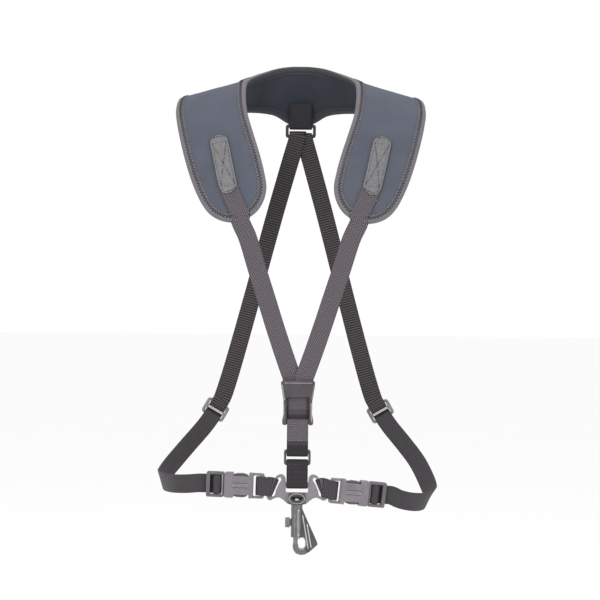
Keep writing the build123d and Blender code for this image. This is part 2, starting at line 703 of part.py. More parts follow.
BUCKLE_TURN = [
    (77.0, 0, -4.2), (69.6, 0, -4.6), (64.2, 0, -4.6), (61.4, 0, -3.4), (60.0, 0, -1.0),
    (59.4, 0, 1.2), (57.8, 0, 2.5), (54.2, 0, 2.5), (52.6, 0, 1.2), (52.3, 0, -1.2),
    (52.3, 0, -4.0), (54.0, 0, -6.2), (60.0, 0, -6.6), (72.0, 0, -6.6),
]

for side_name, side, wrap in (("left", -1, 1), ("right", 1, 0)):
    base = slide_plane(side)
    across_slide = base.x_dir * side
    with BuildPart() as rear_slide:
        with BuildSketch(base):
            RectangleRounded(REAR_SLIDE_SIZE[0], REAR_SLIDE_SIZE[1], 4.0)
            for row in (-1, 1):
                with Locations((0, row * 4.5)):
                    Rectangle(23.2, 5.4, mode=Mode.SUBTRACT)
        extrude(amount=REAR_SLIDE_SIZE[2] / 2, both=True)
        long_bars = rear_slide.edges().filter_by(Axis((0, 0, 0), base.x_dir)).filter_by(lambda e: e.length > 20)
        fillet(long_bars, 0.9)
    save(rear_slide, f"{side_name}_rear_slide")

    # Rear strap: up the back, round the neck ring's lower bar, down the front, into the slide.
    ring_x = side * 3.7
    bar_z = NECK_RING_Z - NECK_RING_HOLE[1] / 2 - 1.4
    turn = NECK_RING_SIZE[2] / 2 + 2 * WEB_GAP + WEB_THICK / 2 + wrap * (WEB_THICK + 0.5)
    bend = Vector(ring_x, NECK_RING_Y, bar_z)
    top_arc = arc_points(bend, Vector(0, turn, 0), Vector(0, 0, turn), 180, 9)
    slide_top = base.from_local_coords(Vector(0, 12, 0))
    down = (slide_top - bend).normalized()
    strap_wide = X_WIDE - down * down.dot(X_WIDE)
    strap_wide = strap_wide.normalized()
    back_low = [
        base.from_local_coords(Vector(0, 3.4, -2.9)),
        base.from_local_coords(Vector(0, 14, -2.9)),
    ]
    back_high = [bend + down * 90 + Vector(0, 2.6, 0), bend + down * 34 + Vector(0, turn, 0)]
    front_high = [bend + down * 34 + Vector(0, -turn, 0), bend + down * 90 + Vector(0, -2.6, 0)]
    front_low = [
        base.from_local_coords(Vector(0, 20, 2.0)),
        base.from_local_coords(Vector(0, 13, 3.2)),
        base.from_local_coords(Vector(0, 8.2, 3.5)),
        base.from_local_coords(Vector(0, 5.2, 1.7)),
        base.from_local_coords(Vector(0, 4.4, 0.0)),
    ]
    points = back_low + back_high + top_arc + front_high + front_low
    across = [across_slide * side, strap_wide] + [strap_wide] * 2 + [X_WIDE] * 9 + [strap_wide] * 2
    across = across + [strap_wide] + [across_slide * side] * 4
    webbing(f"{side_name}_rear_strap", points, across, REAR_WEB)

    # Side strap: out of the slide, round the side and through the buckle's plug.
    buckle = buckle_plane(side_name)
    start = [
        base.from_local_coords(Vector(0, 0.4, -3.1)),
        base.from_local_coords(Vector(0, -2.6, -2.8)),
        base.from_local_coords(Vector(0, -4.5, -0.7)),
        base.from_local_coords(Vector(0, -5.2, 1.6)),
        base.from_local_coords(Vector(0, -7.0, 3.2)),
        base.from_local_coords(Vector(0, -11.5, 3.3)),
    ]
    controls = [(start[-1], across_slide)]
    controls += [(Vector(*point), Vector(*wide)) for point, wide in SIDE_ROUTES[side_name]]
    upright = buckle.y_dir if buckle.y_dir.Z > 0 else buckle.y_dir * -1
    finish = [buckle.from_local_coords(Vector(*point)) for point in BUCKLE_TURN]
    controls.append((finish[0], upright))
    points, across = smooth_path(controls, 30)
    points = start[:-1] + points + finish[1:]
    across = [across_slide] * (len(start) - 1) + across + [upright] * (len(finish) - 1)
    webbing(f"{side_name}_side_strap", points, across, FRONT_WEB)
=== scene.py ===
"""Looks of the chest harness: yoke, binding, patches, webbing, buckles, plate and snap hook.

Lengths are metres unless a name or a docstring says otherwise. The frame is the CAD
model's: -Y is the front.
"""
import json
import math

import bmesh
import bpy
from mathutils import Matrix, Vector, noise


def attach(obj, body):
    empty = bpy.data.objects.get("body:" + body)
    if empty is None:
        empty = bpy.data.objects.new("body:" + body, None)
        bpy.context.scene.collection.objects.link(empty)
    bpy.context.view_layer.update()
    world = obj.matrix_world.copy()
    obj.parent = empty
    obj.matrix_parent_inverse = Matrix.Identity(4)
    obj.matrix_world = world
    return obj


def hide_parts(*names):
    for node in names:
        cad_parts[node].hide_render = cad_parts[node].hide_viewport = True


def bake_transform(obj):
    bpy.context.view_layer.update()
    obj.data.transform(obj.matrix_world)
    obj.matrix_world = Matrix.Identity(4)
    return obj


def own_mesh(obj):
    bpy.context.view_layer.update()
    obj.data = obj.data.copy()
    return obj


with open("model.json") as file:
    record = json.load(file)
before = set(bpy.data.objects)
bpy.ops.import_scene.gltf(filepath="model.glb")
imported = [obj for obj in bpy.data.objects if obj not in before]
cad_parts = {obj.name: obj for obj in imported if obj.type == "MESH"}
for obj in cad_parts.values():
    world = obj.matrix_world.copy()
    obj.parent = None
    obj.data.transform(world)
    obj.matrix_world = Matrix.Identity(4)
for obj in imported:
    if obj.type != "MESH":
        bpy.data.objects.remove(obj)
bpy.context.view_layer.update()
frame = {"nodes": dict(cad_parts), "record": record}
MM = 0.001
X_WIDE = Vector((1, 0, 0))
BACK = Vector((0, 1, 0))
FRONT = Vector((0, -1, 0))
SIDES = (("left", -1), ("right", 1))
WEB = 1.5 * MM


def mm(x, y, z):
    return Vector((x, y, z)) * MM


# ---- camera
CAMERA_AT = mm(1.24, -2000.0, -257.4)
CAMERA_LENS = 96.96
CAMERA_ROLL = math.radians(-0.6)

camera_data = bpy.data.cameras.new("camera")
camera_data.lens = CAMERA_LENS
camera_data.sensor_width = 36.0
camera = bpy.data.objects.new("camera", camera_data)
camera.location = CAMERA_AT
camera.rotation_euler = (math.radians(90), CAMERA_ROLL, 0)
bpy.context.scene.collection.objects.link(camera)
bpy.context.scene.camera = camera
bpy.context.scene.view_settings.view_transform = "Standard"


# ---- shader helpers
class Finish:
    """A Principled material that is built node by node."""

    def __init__(self, name, roughness, **sockets):
        self.material = bpy.data.materials.new(name)
        self.material.use_nodes = True
        self.tree = self.material.node_tree
        self.shader = self.tree.nodes["Principled BSDF"]
        self.shader.inputs["Roughness"].default_value = roughness
        for socket, value in sockets.items():
            self.shader.inputs[socket.replace("_", " ")].default_value = value

    def node(self, kind, inputs=None, **settings):
        made = self.tree.nodes.new(kind)
        for key, value in settings.items():
            setattr(made, key, value)
        for key, value in (inputs or {}).items():
            self.feed(made.inputs[key], value)
        return made

    def feed(self, socket, value):
        if isinstance(value, bpy.types.NodeSocket):
            self.tree.links.new(value, socket)
        else:
            socket.default_value = value

    def calc(self, operation, *values):
        return self.node("ShaderNodeMath", dict(enumerate(values)), operation=operation).outputs[0]

    def weigh(self, first, share, second, other):
        """The sum of two values, each times its own number."""
        return self.calc("MULTIPLY_ADD", first, share, self.calc("MULTIPLY", second, other))

    def place(self):
        """Coordinates in metres that move with the piece."""
        return self.node("ShaderNodeTexCoord").outputs["Object"]

    def along_across(self):
        """The webbing's own coordinates: millimetres across, millimetres along, and the pair."""
        uv = self.node("ShaderNodeUVMap", uv_map="webbing").outputs[0]
        split = self.node("ShaderNodeSeparateXYZ", {0: uv}).outputs
        return self.calc("MULTIPLY", split[0], 100.0), self.calc("MULTIPLY", split[1], 100.0), uv

    def grain(self, where, scale, detail=3.0):
        inputs = {"Scale": scale, "Detail": detail, "Roughness": 0.6, "Vector": where}
        return self.node("ShaderNodeTexNoise", inputs).outputs[0]

    def cells(self, where, scale):
        inputs = {"Scale": scale, "Vector": where}
        return self.node("ShaderNodeTexVoronoi", inputs).outputs["Distance"]

    def remap(self, value, low, high, to_low=0.0, to_high=1.0):
        inputs = {0: value, 1: low, 2: high, 3: to_low, 4: to_high}
        return self.node("ShaderNodeMapRange", inputs).outputs[0]

    def turned(self, where, scale, rotation=(0.0, 0.0, 0.0)):
        """The coordinates, stretched and turned."""
        made = self.node("ShaderNodeMapping", {0: where, "Scale": scale, "Rotation": rotation})
        return made.outputs[0]

    def blend(self, share, first, second):
        """Mix of two colours, each a triple or another mix."""
        made = self.node("ShaderNodeMix", {0: share}, data_type="RGBA")
        for socket, shade in ((made.inputs[6], first), (made.inputs[7], second)):
            self.feed(socket, (*shade, 1.0) if isinstance(shade, tuple) else shade)
        return made.outputs[2]

    def colour(self, share, dark, light):
        self.feed(self.shader.inputs["Base Color"], self.blend(share, dark, light))

    def bump(self, height, depth, strength):
        inputs = {"Height": height, "Strength": strength, "Distance": depth}
        self.feed(self.shader.inputs["Normal"], self.node("ShaderNodeBump", inputs).outputs[0])

    def rough(self, share, low, high):
        self.feed(self.shader.inputs["Roughness"], self.remap(share, 0.0, 1.0, low, high))


def wave(finish, value, period):
    """A 0 to 1 wave over the value, at its highest where the value is 0."""
    turn = finish.calc("MULTIPLY", value, 2 * math.pi / period)
    return finish.calc("MULTIPLY_ADD", finish.calc("COSINE", turn), 0.5, 0.5)


def neoprene_finish(name, dark, light):
    """Knit jersey over foam: fine loops, a faint cloud and fuzz."""
    f = Finish(name, 0.85, Sheen_Weight=0.04, Sheen_Roughness=0.5, Specular_IOR_Level=0.25)
    where = f.place()
    knit = f.cells(where, 1500.0)
    cloud = f.grain(where, 34.0, 5.0)
    fuzz = f.grain(where, 900.0, 2.0)
    tone = f.weigh(knit, 0.35, cloud, 0.65)
    f.colour(f.remap(tone, 0.2, 0.62), dark, light)
    height = f.weigh(fuzz, 0.35, knit, 0.65)
    f.bump(f.calc("MULTIPLY_ADD", cloud, 1.6, height), 0.00022, 0.55)
    return f.material


def twill_finish(name, dark, light, stripe=5.2, pitch=2.9, slope=1.3):
    """Chevron twill: slanted yarns that change direction in stripes across the webbing."""
    f = Finish(name, 0.66, Sheen_Weight=0.05, Sheen_Roughness=0.35, Specular_IOR_Level=0.35)
    across, along, uv = f.along_across()
    zigzag = f.calc("PINGPONG", f.calc("ADD", across, 100 * stripe), stripe)
    yarn = wave(f, f.calc("MULTIPLY_ADD", zigzag, slope, along), pitch)
    thread = wave(f, across, 0.95)
    height = f.weigh(yarn, 0.75, thread, 0.25)
    height = f.calc("MULTIPLY_ADD", f.grain(uv, 60.0), 0.35, height)
    # The colour follows the yarns' height: the weave's own pattern, with painted shade in its
    # hollows and painted highlights on its raised yarns.
    f.colour(f.remap(height, 0.42, 0.96), dark, light)
    f.bump(height, 0.00028, 0.85)
    return f.material


def rib_finish(name, dark, light, pitch):
    """Plain ribbed webbing: ribs straight across, with the warp showing as a fine comb."""
    f = Finish(name, 0.62, Sheen_Weight=0.03, Sheen_Roughness=0.4, Specular_IOR_Level=0.3)
    across, along, uv = f.along_across()
    rib = wave(f, along, pitch)
    comb = wave(f, across, 0.8)
    height = f.weigh(rib, 0.7, comb, 0.3)
    height = f.calc("MULTIPLY_ADD", f.grain(uv, 80.0), 0.3, height)
    # The colour follows the yarns' height: the weave's own pattern, with painted shade in its
    # hollows and painted highlights on its raised yarns.
    f.colour(f.remap(height, 0.42, 1.0), dark, light)
    f.bump(height, 0.0002, 0.8)
    return f.material


def tape_finish(name, dark, light):
    """Folded edging tape: close ribs with a slanted weave."""
    f = Finish(name, 0.7, Sheen_Weight=0.05, Sheen_Roughness=0.4, Specular_IOR_Level=0.35)
    across, along, uv = f.along_across()
    ribs = wave(f, across, 0.8)
    weave = wave(f, f.calc("MULTIPLY_ADD", across, 0.6, along), 0.9)
    cloud = f.grain(uv, 12.0, 4.0)
    height = f.weigh(ribs, 0.5, weave, 0.5)
    f.colour(f.weigh(cloud, 0.6, height, 0.4), dark, light)
    f.bump(height, 0.00014, 0.7)
    return f.material


def leather_finish(name, dark, light):
    """Pebbled leather with creases."""
    f = Finish(name, 0.5, Coat_Weight=0.08, Specular_IOR_Level=0.45, Coat_Roughness=0.35)
    where = f.place()
    wobble = f.node("ShaderNodeTexNoise", {"Scale": 220.0, "Detail": 2.0, "Vector": where})
    scaled = f.node(
        "ShaderNodeVectorMath", {0: wobble.outputs["Color"], 3: 0.0012}, operation="SCALE"
    )
    warped = f.node("ShaderNodeVectorMath", {0: where, 1: scaled.outputs[0]}, operation="ADD")
    pebble = f.cells(warped.outputs[0], 900.0)
    crease = f.grain(where, 300.0, 4.0)
    tone = f.weigh(crease, 0.7, pebble, 0.4)
    f.colour(f.remap(tone, 0.2, 0.8), dark, light)
    f.rough(crease, 0.42, 0.6)
    f.bump(f.calc("SUBTRACT", crease, pebble), 0.00025, 0.6)
    return f.material


def plastic_finish(name, dark, light, rough_low, rough_high, texture=0.00006, coat=0.0):
    """Moulded plastic: eroded grain, flow marks, scuffs, painted shade in the corners and painted
    highlights along the rims.
    """
    f = Finish(name, rough_low, Coat_Weight=coat, Specular_IOR_Level=0.5, Coat_Roughness=0.12)
    where = f.place()
    grain = f.cells(where, 2600.0)
    flow = f.grain(where, 60.0, 5.0)
    scuff = f.grain(f.turned(where, (1.0, 1.0, 0.12), (0.3, 0.5, 0.2)), 1400.0)
    scuff = f.remap(scuff, 0.62, 0.74)
    tone = f.weigh(scuff, 0.35, flow, 0.8)
    # Painted shade darkens the hollows and painted highlights lighten the rims, both found from the
    # pointiness.
    bend = f.node("ShaderNodeNewGeometry").outputs["Pointiness"]
    corner = tuple(0.3 * part for part in dark)
    rim = tuple(min(1.6 * part, 0.62) for part in light)
    shade = f.blend(f.remap(tone, 0.25, 0.85), dark, light)
    shade = f.blend(f.remap(bend, 0.488, 0.43), shade, corner)
    shade = f.blend(f.remap(bend, 0.515, 0.575), shade, rim)
    f.feed(f.shader.inputs["Base Color"], shade)
    wear = f.weigh(scuff, 0.5, flow, 0.6)
    f.rough(wear, rough_low, rough_high)
    f.bump(f.weigh(grain, 0.8, scuff, 0.4), texture, 0.6)
    return f.material


def steel_finish(name):
    """Plated steel, brushed along the piece."""
    f = Finish(name, 0.3, Metallic=1.0)
    lines = f.grain(f.turned(f.place(), (1.0, 1.0, 14.0)), 900.0)
    f.colour(lines, (0.30, 0.30, 0.31), (0.55, 0.55, 0.56))
    f.rough(lines, 0.22, 0.42)
    f.bump(lines, 0.00004, 0.5)
    return f.material


def thread_finish(name, dark, light):
    """Sewing thread."""
    f = Finish(name, 0.6, Sheen_Weight=0.04)
    twist = f.grain(f.place(), 2500.0, 2.0)
    f.colour(twist, dark, light)
    f.bump(twist, 0.0001, 0.6)
    return f.material


NEOPRENE = neoprene_finish("neoprene_knit", (0.062, 0.070, 0.092), (0.086, 0.096, 0.124))
# A darker knit for the yoke's wearer-side face.
NEOPRENE_INNER_FACE = neoprene_finish("neoprene_inner_face", (0.015, 0.017, 0.024), (0.030, 0.034, 0.045))
BINDING = tape_finish("binding_tape", (0.085, 0.080, 0.089), (0.190, 0.180, 0.196))
# The same tape, darkened for its wearer-side face: painted shade.
BINDING_PAINTED_SHADE = tape_finish("binding_tape_inner_painted_shade", (0.022, 0.023, 0.028), (0.055, 0.057, 0.067))
LEATHER = leather_finish("patch_leather", (0.075, 0.073, 0.077), (0.190, 0.185, 0.192))
TWILL = twill_finish("charcoal_twill", (0.010, 0.008, 0.010), (0.165, 0.143, 0.163))
# Darker copies of the charcoal twill: painted shade on the centre webbing.
TWILL_PAINTED_HALF_SHADE = twill_finish("charcoal_twill_painted_half_shade", (0.007, 0.005, 0.007), (0.115, 0.097, 0.112))
TWILL_PAINTED_SHADE = twill_finish("charcoal_twill_painted_shade", (0.005, 0.004, 0.005), (0.062, 0.052, 0.060))
TWILL_SHADE = twill_finish("charcoal_twill_painted_deep_shade", (0.004, 0.003, 0.004), (0.022, 0.018, 0.022))
TWILL_DARK = twill_finish(
    "side_twill", (0.006, 0.005, 0.006), (0.072, 0.063, 0.071), 5.5, 2.2, 1.1
)
LOOP_WEB = rib_finish("loop_webbing", (0.004, 0.003, 0.004), (0.034, 0.029, 0.034), 1.5)
BLACK_WEB = rib_finish("black_ribbed_webbing", (0.006, 0.005, 0.005), (0.082, 0.069, 0.074), 3.1)
TAB_WEB = rib_finish("tab_webbing", (0.005, 0.005, 0.006), (0.026, 0.025, 0.029), 1.2)
BUCKLE = plastic_finish(
    "buckle_plastic", (0.125, 0.112, 0.126), (0.225, 0.205, 0.226), 0.34, 0.55, 0.00008
)
PLATE = plastic_finish(
    "plate_plastic", (0.150, 0.136, 0.150), (0.250, 0.230, 0.250), 0.38, 0.58, 0.00008
)
SLIDER = plastic_finish(
    "slider_plastic", (0.036, 0.028, 0.035), (0.082, 0.068, 0.080), 0.32, 0.5, 0.00007
)
RING = plastic_finish("ring_plastic", (0.016, 0.014, 0.016), (0.048, 0.044, 0.048), 0.25, 0.42)
SLIDE = plastic_finish(
    "slide_plastic", (0.130, 0.120, 0.130), (0.270, 0.254, 0.268), 0.2, 0.36, 0.00004, 0.4
)
# A light plastic for painted highlights on the rear slides' bars.
SLIDE_BAR_PAINTED_HIGHLIGHT = plastic_finish(
    "slide_bar_plastic_painted_highlight", (0.300, 0.288, 0.304), (0.460, 0.446, 0.464), 0.14, 0.28, 0.00004, 0.5
)
HOOK = plastic_finish(
    "hook_plastic", (0.062, 0.061, 0.060), (0.180, 0.177, 0.176), 0.1, 0.26, 0.00005, 0.6
)
# A darker copy of the hook plastic: painted shade on the hook's blade.
HOOK_BLADE_PAINTED_SHADE = plastic_finish(
    "hook_blade_plastic_painted_shade", (0.020, 0.019, 0.020), (0.078, 0.074, 0.078), 0.1, 0.26, 0.00005, 0.6
)
# A lighter copy of the hook plastic: painted highlights on the blade's ribs.
HOOK_RIB_PAINTED_HIGHLIGHT = plastic_finish(
    "hook_rib_plastic_painted_highlight", (0.280, 0.270, 0.295), (0.480, 0.466, 0.505), 0.1, 0.24, 0.00004, 0.6
)
PLUG = plastic_finish(
    "plug_plastic", (0.070, 0.062, 0.071), (0.135, 0.122, 0.136), 0.34, 0.55, 0.00008
)
# Darker plastic for the release arms: painted shade of the notches round them.
ARM_PAINTED_SHADE = plastic_finish(
    "release_arm_plastic_painted_shade", (0.050, 0.044, 0.050), (0.110, 0.099, 0.110), 0.34, 0.55, 0.00008
)
LINK_WEB = rib_finish("link_webbing", (0.008, 0.006, 0.008), (0.080, 0.070, 0.080), 1.7)
# A near-black gloss plastic for beads of painted shade.
PAINTED_SHADE_GLOSS = plastic_finish(
    "painted_shade_gloss_plastic", (0.010, 0.009, 0.010), (0.032, 0.029, 0.032), 0.12, 0.28, 0.00004, 0.6
)
STEEL = steel_finish("plated_steel")
DARK_THREAD = thread_finish("dark_thread", (0.008, 0.008, 0.012), (0.030, 0.028, 0.036))
SEAM_THREAD = thread_finish("seam_thread", (0.07, 0.065, 0.07), (0.15, 0.14, 0.15))
GREY_THREAD = thread_finish("grey_thread", (0.16, 0.15, 0.16), (0.34, 0.32, 0.34))

MATERIAL_SLOT = {
    "neoprene": NEOPRENE, "binding_tape": BINDING, "leather_patch": LEATHER,
    "black_webbing": BLACK_WEB, "charcoal_webbing": TWILL, "buckle_plastic": BUCKLE,
    "slider_plastic": SLIDER, "ring_plastic": RING, "slide_plastic": SLIDE,
    "plate_plastic": PLATE, "hook_plastic": HOOK, "steel": STEEL,
}
SLOT_OF = {part["node"]: part["material_slot"] for part in frame["record"]["subparts"]}
BODY_OF = {
    node: body
    for body, nodes in frame["record"]["behaviour"]["bodies"].items()
    for node in nodes
}


# ---- curves and meshes
def through(points, i, t, closed=False):
    """A point on the centripetal curve through the points, a share t past point i."""
    count = len(points)

    def at(k):
        if closed:
            return points[k % count]
        if k < 0:
            return points[0] * 2 - points[1]
        if k >= count:
            return points[-1] * 2 - points[-2]
        return points[k]

    knots = [at(k) for k in range(i - 1, i + 3)]
    times = [0.0]
    for a, b in zip(knots, knots[1:]):
        times.append(times[-1] + max((b - a).length, 1e-7) ** 0.5)
    u = times[1] + (times[2] - times[1]) * t

    def mix(level, low, first, second):
        high = low + level
        width = times[high] - times[low]
        return first * ((times[high] - u) / width) + second * ((u - times[low]) / width)

    a = [mix(1, k, knots[k], knots[k + 1]) for k in range(3)]
    b = [mix(2, k, a[k], a[k + 1]) for k in range(2)]
    return mix(1, 1, *b)


def dense(points, across, step):
    """The path and its width directions, sampled about a step apart."""
    out_points = []
    out_across = []
    for i in range(len(points) - 1):
        count = max(1, math.ceil((points[i + 1] - points[i]).length / step))
        for k in range(count):
            out_points.append(through(points, i, k / count))
            out_across.append(across[i].lerp(across[i + 1], k / count).normalized())
    out_points.append(points[-1].copy())
    out_across.append(across[-1].normalized())
    return out_points, out_across


def frames_along(points, across):
    """Tangent, width direction and normal at each point of a path."""
    frames = []
    for i, point in enumerate(points):
        tangent = (points[min(i + 1, len(points) - 1)] - points[max(i - 1, 0)]).normalized()
        wide = (across[i] - tangent * across[i].dot(tangent)).normalized()
        frames.append((tangent, wide, tangent.cross(wide)))
    return frames


def new_object(name, vertices, faces, material, uvs=None):
    mesh = bpy.data.meshes.new(name)
    mesh.from_pydata([tuple(v) for v in vertices], [], faces)
    if uvs:
        layer = mesh.uv_layers.new(name="webbing")
        for loop in mesh.loops:
            layer.data[loop.index].uv = uvs[loop.vertex_index]
    mesh.polygons.foreach_set("use_smooth", [True] * len(mesh.polygons))
    mesh.materials.append(material)
    made = bpy.data.objects.new(name, mesh)
    bpy.context.scene.collection.objects.link(made)
    fix = bmesh.new()
    fix.from_mesh(mesh)
    bmesh.ops.recalc_face_normals(fix, faces=fix.faces)
    fix.to_mesh(mesh)
    fix.free()
    return made


def settle(made, slot, body, *stands_for):
    """Parents a piece to its body, or bakes in the place of a piece that stretches between a pair
    of bodies. The slot is not used.
    """
    if isinstance(body, tuple):
        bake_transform(made)
    else:
        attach(made, body)
    if stands_for:
        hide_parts(*stands_for)
    return made


def recolour(piece, material, inside):
    """Gives the faces whose centres, in millimetres, are inside the region another material."""
    piece.data.materials.append(material)
    for face in piece.data.polygons:
        if inside(face.center / MM):
            face.material_index = len(piece.data.materials) - 1


def tube_faces(rings, sides, closed=False):
    """Faces over rings of points, with flat ends unless the tube closes on itself."""
    faces = []
    for i in range(rings if closed else rings - 1):
        a, b = i * sides, (i + 1) % rings * sides
        for k in range(sides):
            m = (k + 1) % sides
            faces.append((a + k, a + m, b + m, b + k))
    if not closed:
        faces += [tuple(range(sides)), tuple(range((rings - 1) * sides, rings * sides))]
    return faces


def slab_faces(rows, columns, ends):
    """Faces over two sheets of points, one above the other, joined along their sides."""
    width = columns + 1
    sheet = rows * width
    faces = []
    for first in (0, sheet):
        for i in range(rows - 1):
            for a in range(first + i * width, first + i * width + columns):
                faces.append((a, a + 1, a + 1 + width, a + width))
    for i in range(rows - 1):
        for a in (i * width, i * width + columns):
            faces.append((a, a + width, a + width + sheet, a + sheet))
    for i in (0, rows - 1) if ends else ():
        for a in range(i * width, i * width + columns):
            faces.append((a, a + 1, a + 1 + sheet, a + sheet))
    return faces


def circle(sides):
    """Cosine and sine of equal turns round a circle."""
    turns = [2 * math.pi * k / sides for k in range(sides)]
    return [(math.cos(turn), math.sin(turn)) for turn in turns]


def web_section(width, thick, columns=8):
    """Outline of the webbing's section: flat faces, thinner rounded selvedges."""
    top = []
    for i in range(columns + 1):
        x = -0.5 + i / columns
        edge = 1.0 - 0.22 * abs(2 * x) ** 8
        top.append((x * width * 0.985, thick / 2 * edge))
    side = [(width * 0.5, thick * 0.2), (width * 0.5, -thick * 0.2)]
    bottom = [(x, -z) for x, z in top[::-1]]
    other = [(-x, z) for x, z in side[::-1]]
    return top + side + bottom + other


def webbing(name, points, across, width, material, step=0.0025, ribs=None, ripple=0.0,
            thick=WEB, travelled=0.0):
    """Woven band along a path. Only the width is in millimetres.

    ribs is (pitch, depth) of ribs that stand on both faces. travelled is the length already
    covered by a piece that this one carries on, so that the weave carries on too.
    """
    across = across if isinstance(across, list) else [across] * len(points)
    points, across = dense(points, across, step)
    width *= MM
    section = web_section(width, thick)
    vertices = []
    uvs = []
    framed = zip(points, frames_along(points, across))
    for i, (point, (tangent, wide, normal)) in enumerate(framed):
        if i:
            travelled += (point - points[i - 1]).length
        stand = 0.0
        if ribs:
            stand = ribs[1] * (0.5 + 0.5 * math.cos(2 * math.pi * travelled / ribs[0]))
        for x, z in section:
            swell = stand * (1 if z > 0 else -1) * (1 - abs(2 * x / width) ** 10)
            wander = ripple * noise.noise(Vector((travelled * 22, x * 30, 3.7)))
            vertices.append(point + wide * x + normal * (z + swell + wander))
            uvs.append((x * 10, travelled * 10))
    ring = len(section)
    made = new_object(name, vertices, tube_faces(len(points), ring), material, uvs)
    for face in made.data.polygons:
        if len(face.vertices) == ring:
            face.use_smooth = False
    return made


# Share along a stitch, height above its line and thickness, both in thread radii.
STITCH_ARCH = ((0, -0.9, 0.6), (0.14, 0.1, 1), (0.5, 0.45, 1), (0.86, 0.1, 1), (1, -0.9, 0.6))


def threads(name, stitches, material, radius):
    """Sewing stitches: each is (start, end, outward normal), a small arched length of thread."""
    vertices = []
    faces = []
    around = circle(6)
    one_stitch = tube_faces(len(STITCH_ARCH), 6)
    for start, end, normal in stitches:
        run = end - start
        if run.length < 1e-6:
            continue
        tangent = run.normalized()
        wide = tangent.cross(normal).normalized()
        up = wide.cross(tangent)
        faces += [tuple(len(vertices) + corner for corner in face) for face in one_stitch]
        for share, lift, size in STITCH_ARCH:
            middle = start + run * share + up * (lift * radius)
            vertices += [middle + (wide * c + up * s) * (radius * size) for c, s in around]
    return new_object(name, vertices, faces, material)


def running_stitch(path, pitch=0.003, share=0.7):
    """Stitches in line along a path of (point, normal)."""
    stitches = []
    carried = 0.0
    for (a, normal_a), (b, normal_b) in zip(path[:-1], path[1:]):
        length = (b - a).length
        while carried < length:
            start = a.lerp(b, carried / length)
            end = a.lerp(b, min(1.0, (carried + pitch * share) / length))
            stitches.append((start, end, normal_a.lerp(normal_b, 0.5)))
            carried += pitch
        carried -= length
    return stitches


# ---- yoke surface
# Stations from the back centre to the tip of the lobe at -X, in millimetres: the neck-edge
# point and the arm-edge point.
YOKE_STATIONS_MM = [
    ((0.0, 63.0, 40.0), (0.0, 74.0, -35.4)),
    ((-10.0, 62.0, 39.8), (-9.5, 74.0, -34.0)),
    ((-18.5, 60.0, 38.8), (-19.0, 74.0, -29.8)),
    ((-27.0, 56.5, 37.0), (-33.0, 73.5, -21.6)),
    ((-36.0, 51.0, 33.6), (-52.0, 72.0, -18.2)),
    ((-47.0, 41.5, 28.0), (-78.0, 66.0, -18.0)),
    ((-56.0, 30.0, 22.5), (-108.0, 53.0, -18.5)),
    ((-63.0, 16.0, 17.0), (-134.0, 30.0, -15.5)),
    ((-67.4, 0.0, 9.5), (-149.1, 0.0, -12.0)),
    ((-67.9, -22.0, -8.9), (-152.5, -22.0, -27.3)),
    ((-65.0, -38.0, -31.6), (-150.0, -38.0, -44.5)),
    ((-57.3, -52.0, -57.3), (-144.6, -52.0, -67.5)),
    ((-49.7, -63.0, -81.2), (-137.8, -63.0, -92.0)),
    ((-43.5, -72.0, -104.7), (-130.0, -72.0, -115.4)),
    ((-40.4, -78.0, -124.2), (-122.0, -78.0, -134.0)),
    ((-43.3, -82.0, -139.5), (-113.4, -82.0, -149.0)),
    ((-50.4, -85.0, -152.0), (-104.3, -85.0, -158.6)),
    ((-61.5, -86.8, -160.8), (-92.0, -86.8, -164.6)),
]
LOBE_TIP_MM = (-77.0, -87.3, -166.2)
PAD_HALF = 3.1 * MM
EDGE_HALF = 2.5 * MM
PINCH_REACH = 8.5 * MM
CENTRE_ROW = len(YOKE_STATIONS_MM)
LAST_ROW = 2 * CENTRE_ROW

half = [(mm(*neck), mm(*arm)) for neck, arm in YOKE_STATIONS_MM]
left_tip = mm(*LOBE_TIP_MM)


def flipped(point):
    return Vector((-point.x, point.y, point.z))


rim = [left_tip] + [neck for neck, arm in half[::-1]]
rim += [flipped(neck) for neck, arm in half[1:]] + [flipped(left_tip)]
rim += [flipped(arm) for neck, arm in half[:0:-1]] + [arm for neck, arm in half]


def rim_point(place):
    """A point on the yoke's closed edge: 0 is the left tip, LAST_ROW the right one."""
    place = place % len(rim)
    return through(rim, int(place), place - int(place), closed=True)


def sheet_point(row, share):
    """The middle of the yoke's thickness, from the neck edge to the arm edge."""
    return rim_point(row).lerp(rim_point(len(rim) - row), share)


def sheet_across(row):
    return sheet_point(row, 1.0) - sheet_point(row, 0.0)


def pinch(reach):
    """How firmly the binding squeezes the pad at a distance from the edge, 1 at the edge."""
    return math.exp(-((reach / PINCH_REACH) ** 2))


def sheet_normal(row, share):
    """Outward normal, away from the wearer."""
    row = min(max(row, 0.06), LAST_ROW - 0.06)
    along = sheet_point(row + 0.05, 0.5) - sheet_point(row - 0.05, 0.5)
    local = sheet_point(row + 0.05, share) - sheet_point(row - 0.05, share)
    if local.length > 1e-7 and local.dot(along) > 0:
        along = local.normalized() + along.normalized() * 0.3
    return along.cross(sheet_across(row)).normalized()


def pad_swell(row, share):
    """Half the pad's thickness: full in the middle and pinched where the binding holds it."""
    squeeze = pinch(min(share, 1 - share) * sheet_across(row).length)
    crown = 1.0 + 0.18 * math.sin(math.pi * share)
    ripple = 0.00035 * noise.noise(Vector((row * 0.9, share * 4.0, 1.3)))
    return (PAD_HALF * crown + ripple) * (1 - squeeze) + EDGE_HALF * squeeze


def pad_surface(row, share, height=0.0):
    """A point above the yoke's outer face, and the normal there."""
    normal = sheet_normal(row, share)
    return sheet_point(row, share) + normal * (pad_swell(row, share) + height), normal


ROW_STEPS = 7
COLUMNS = 26
EDGE_INSET = 1.1 * MM


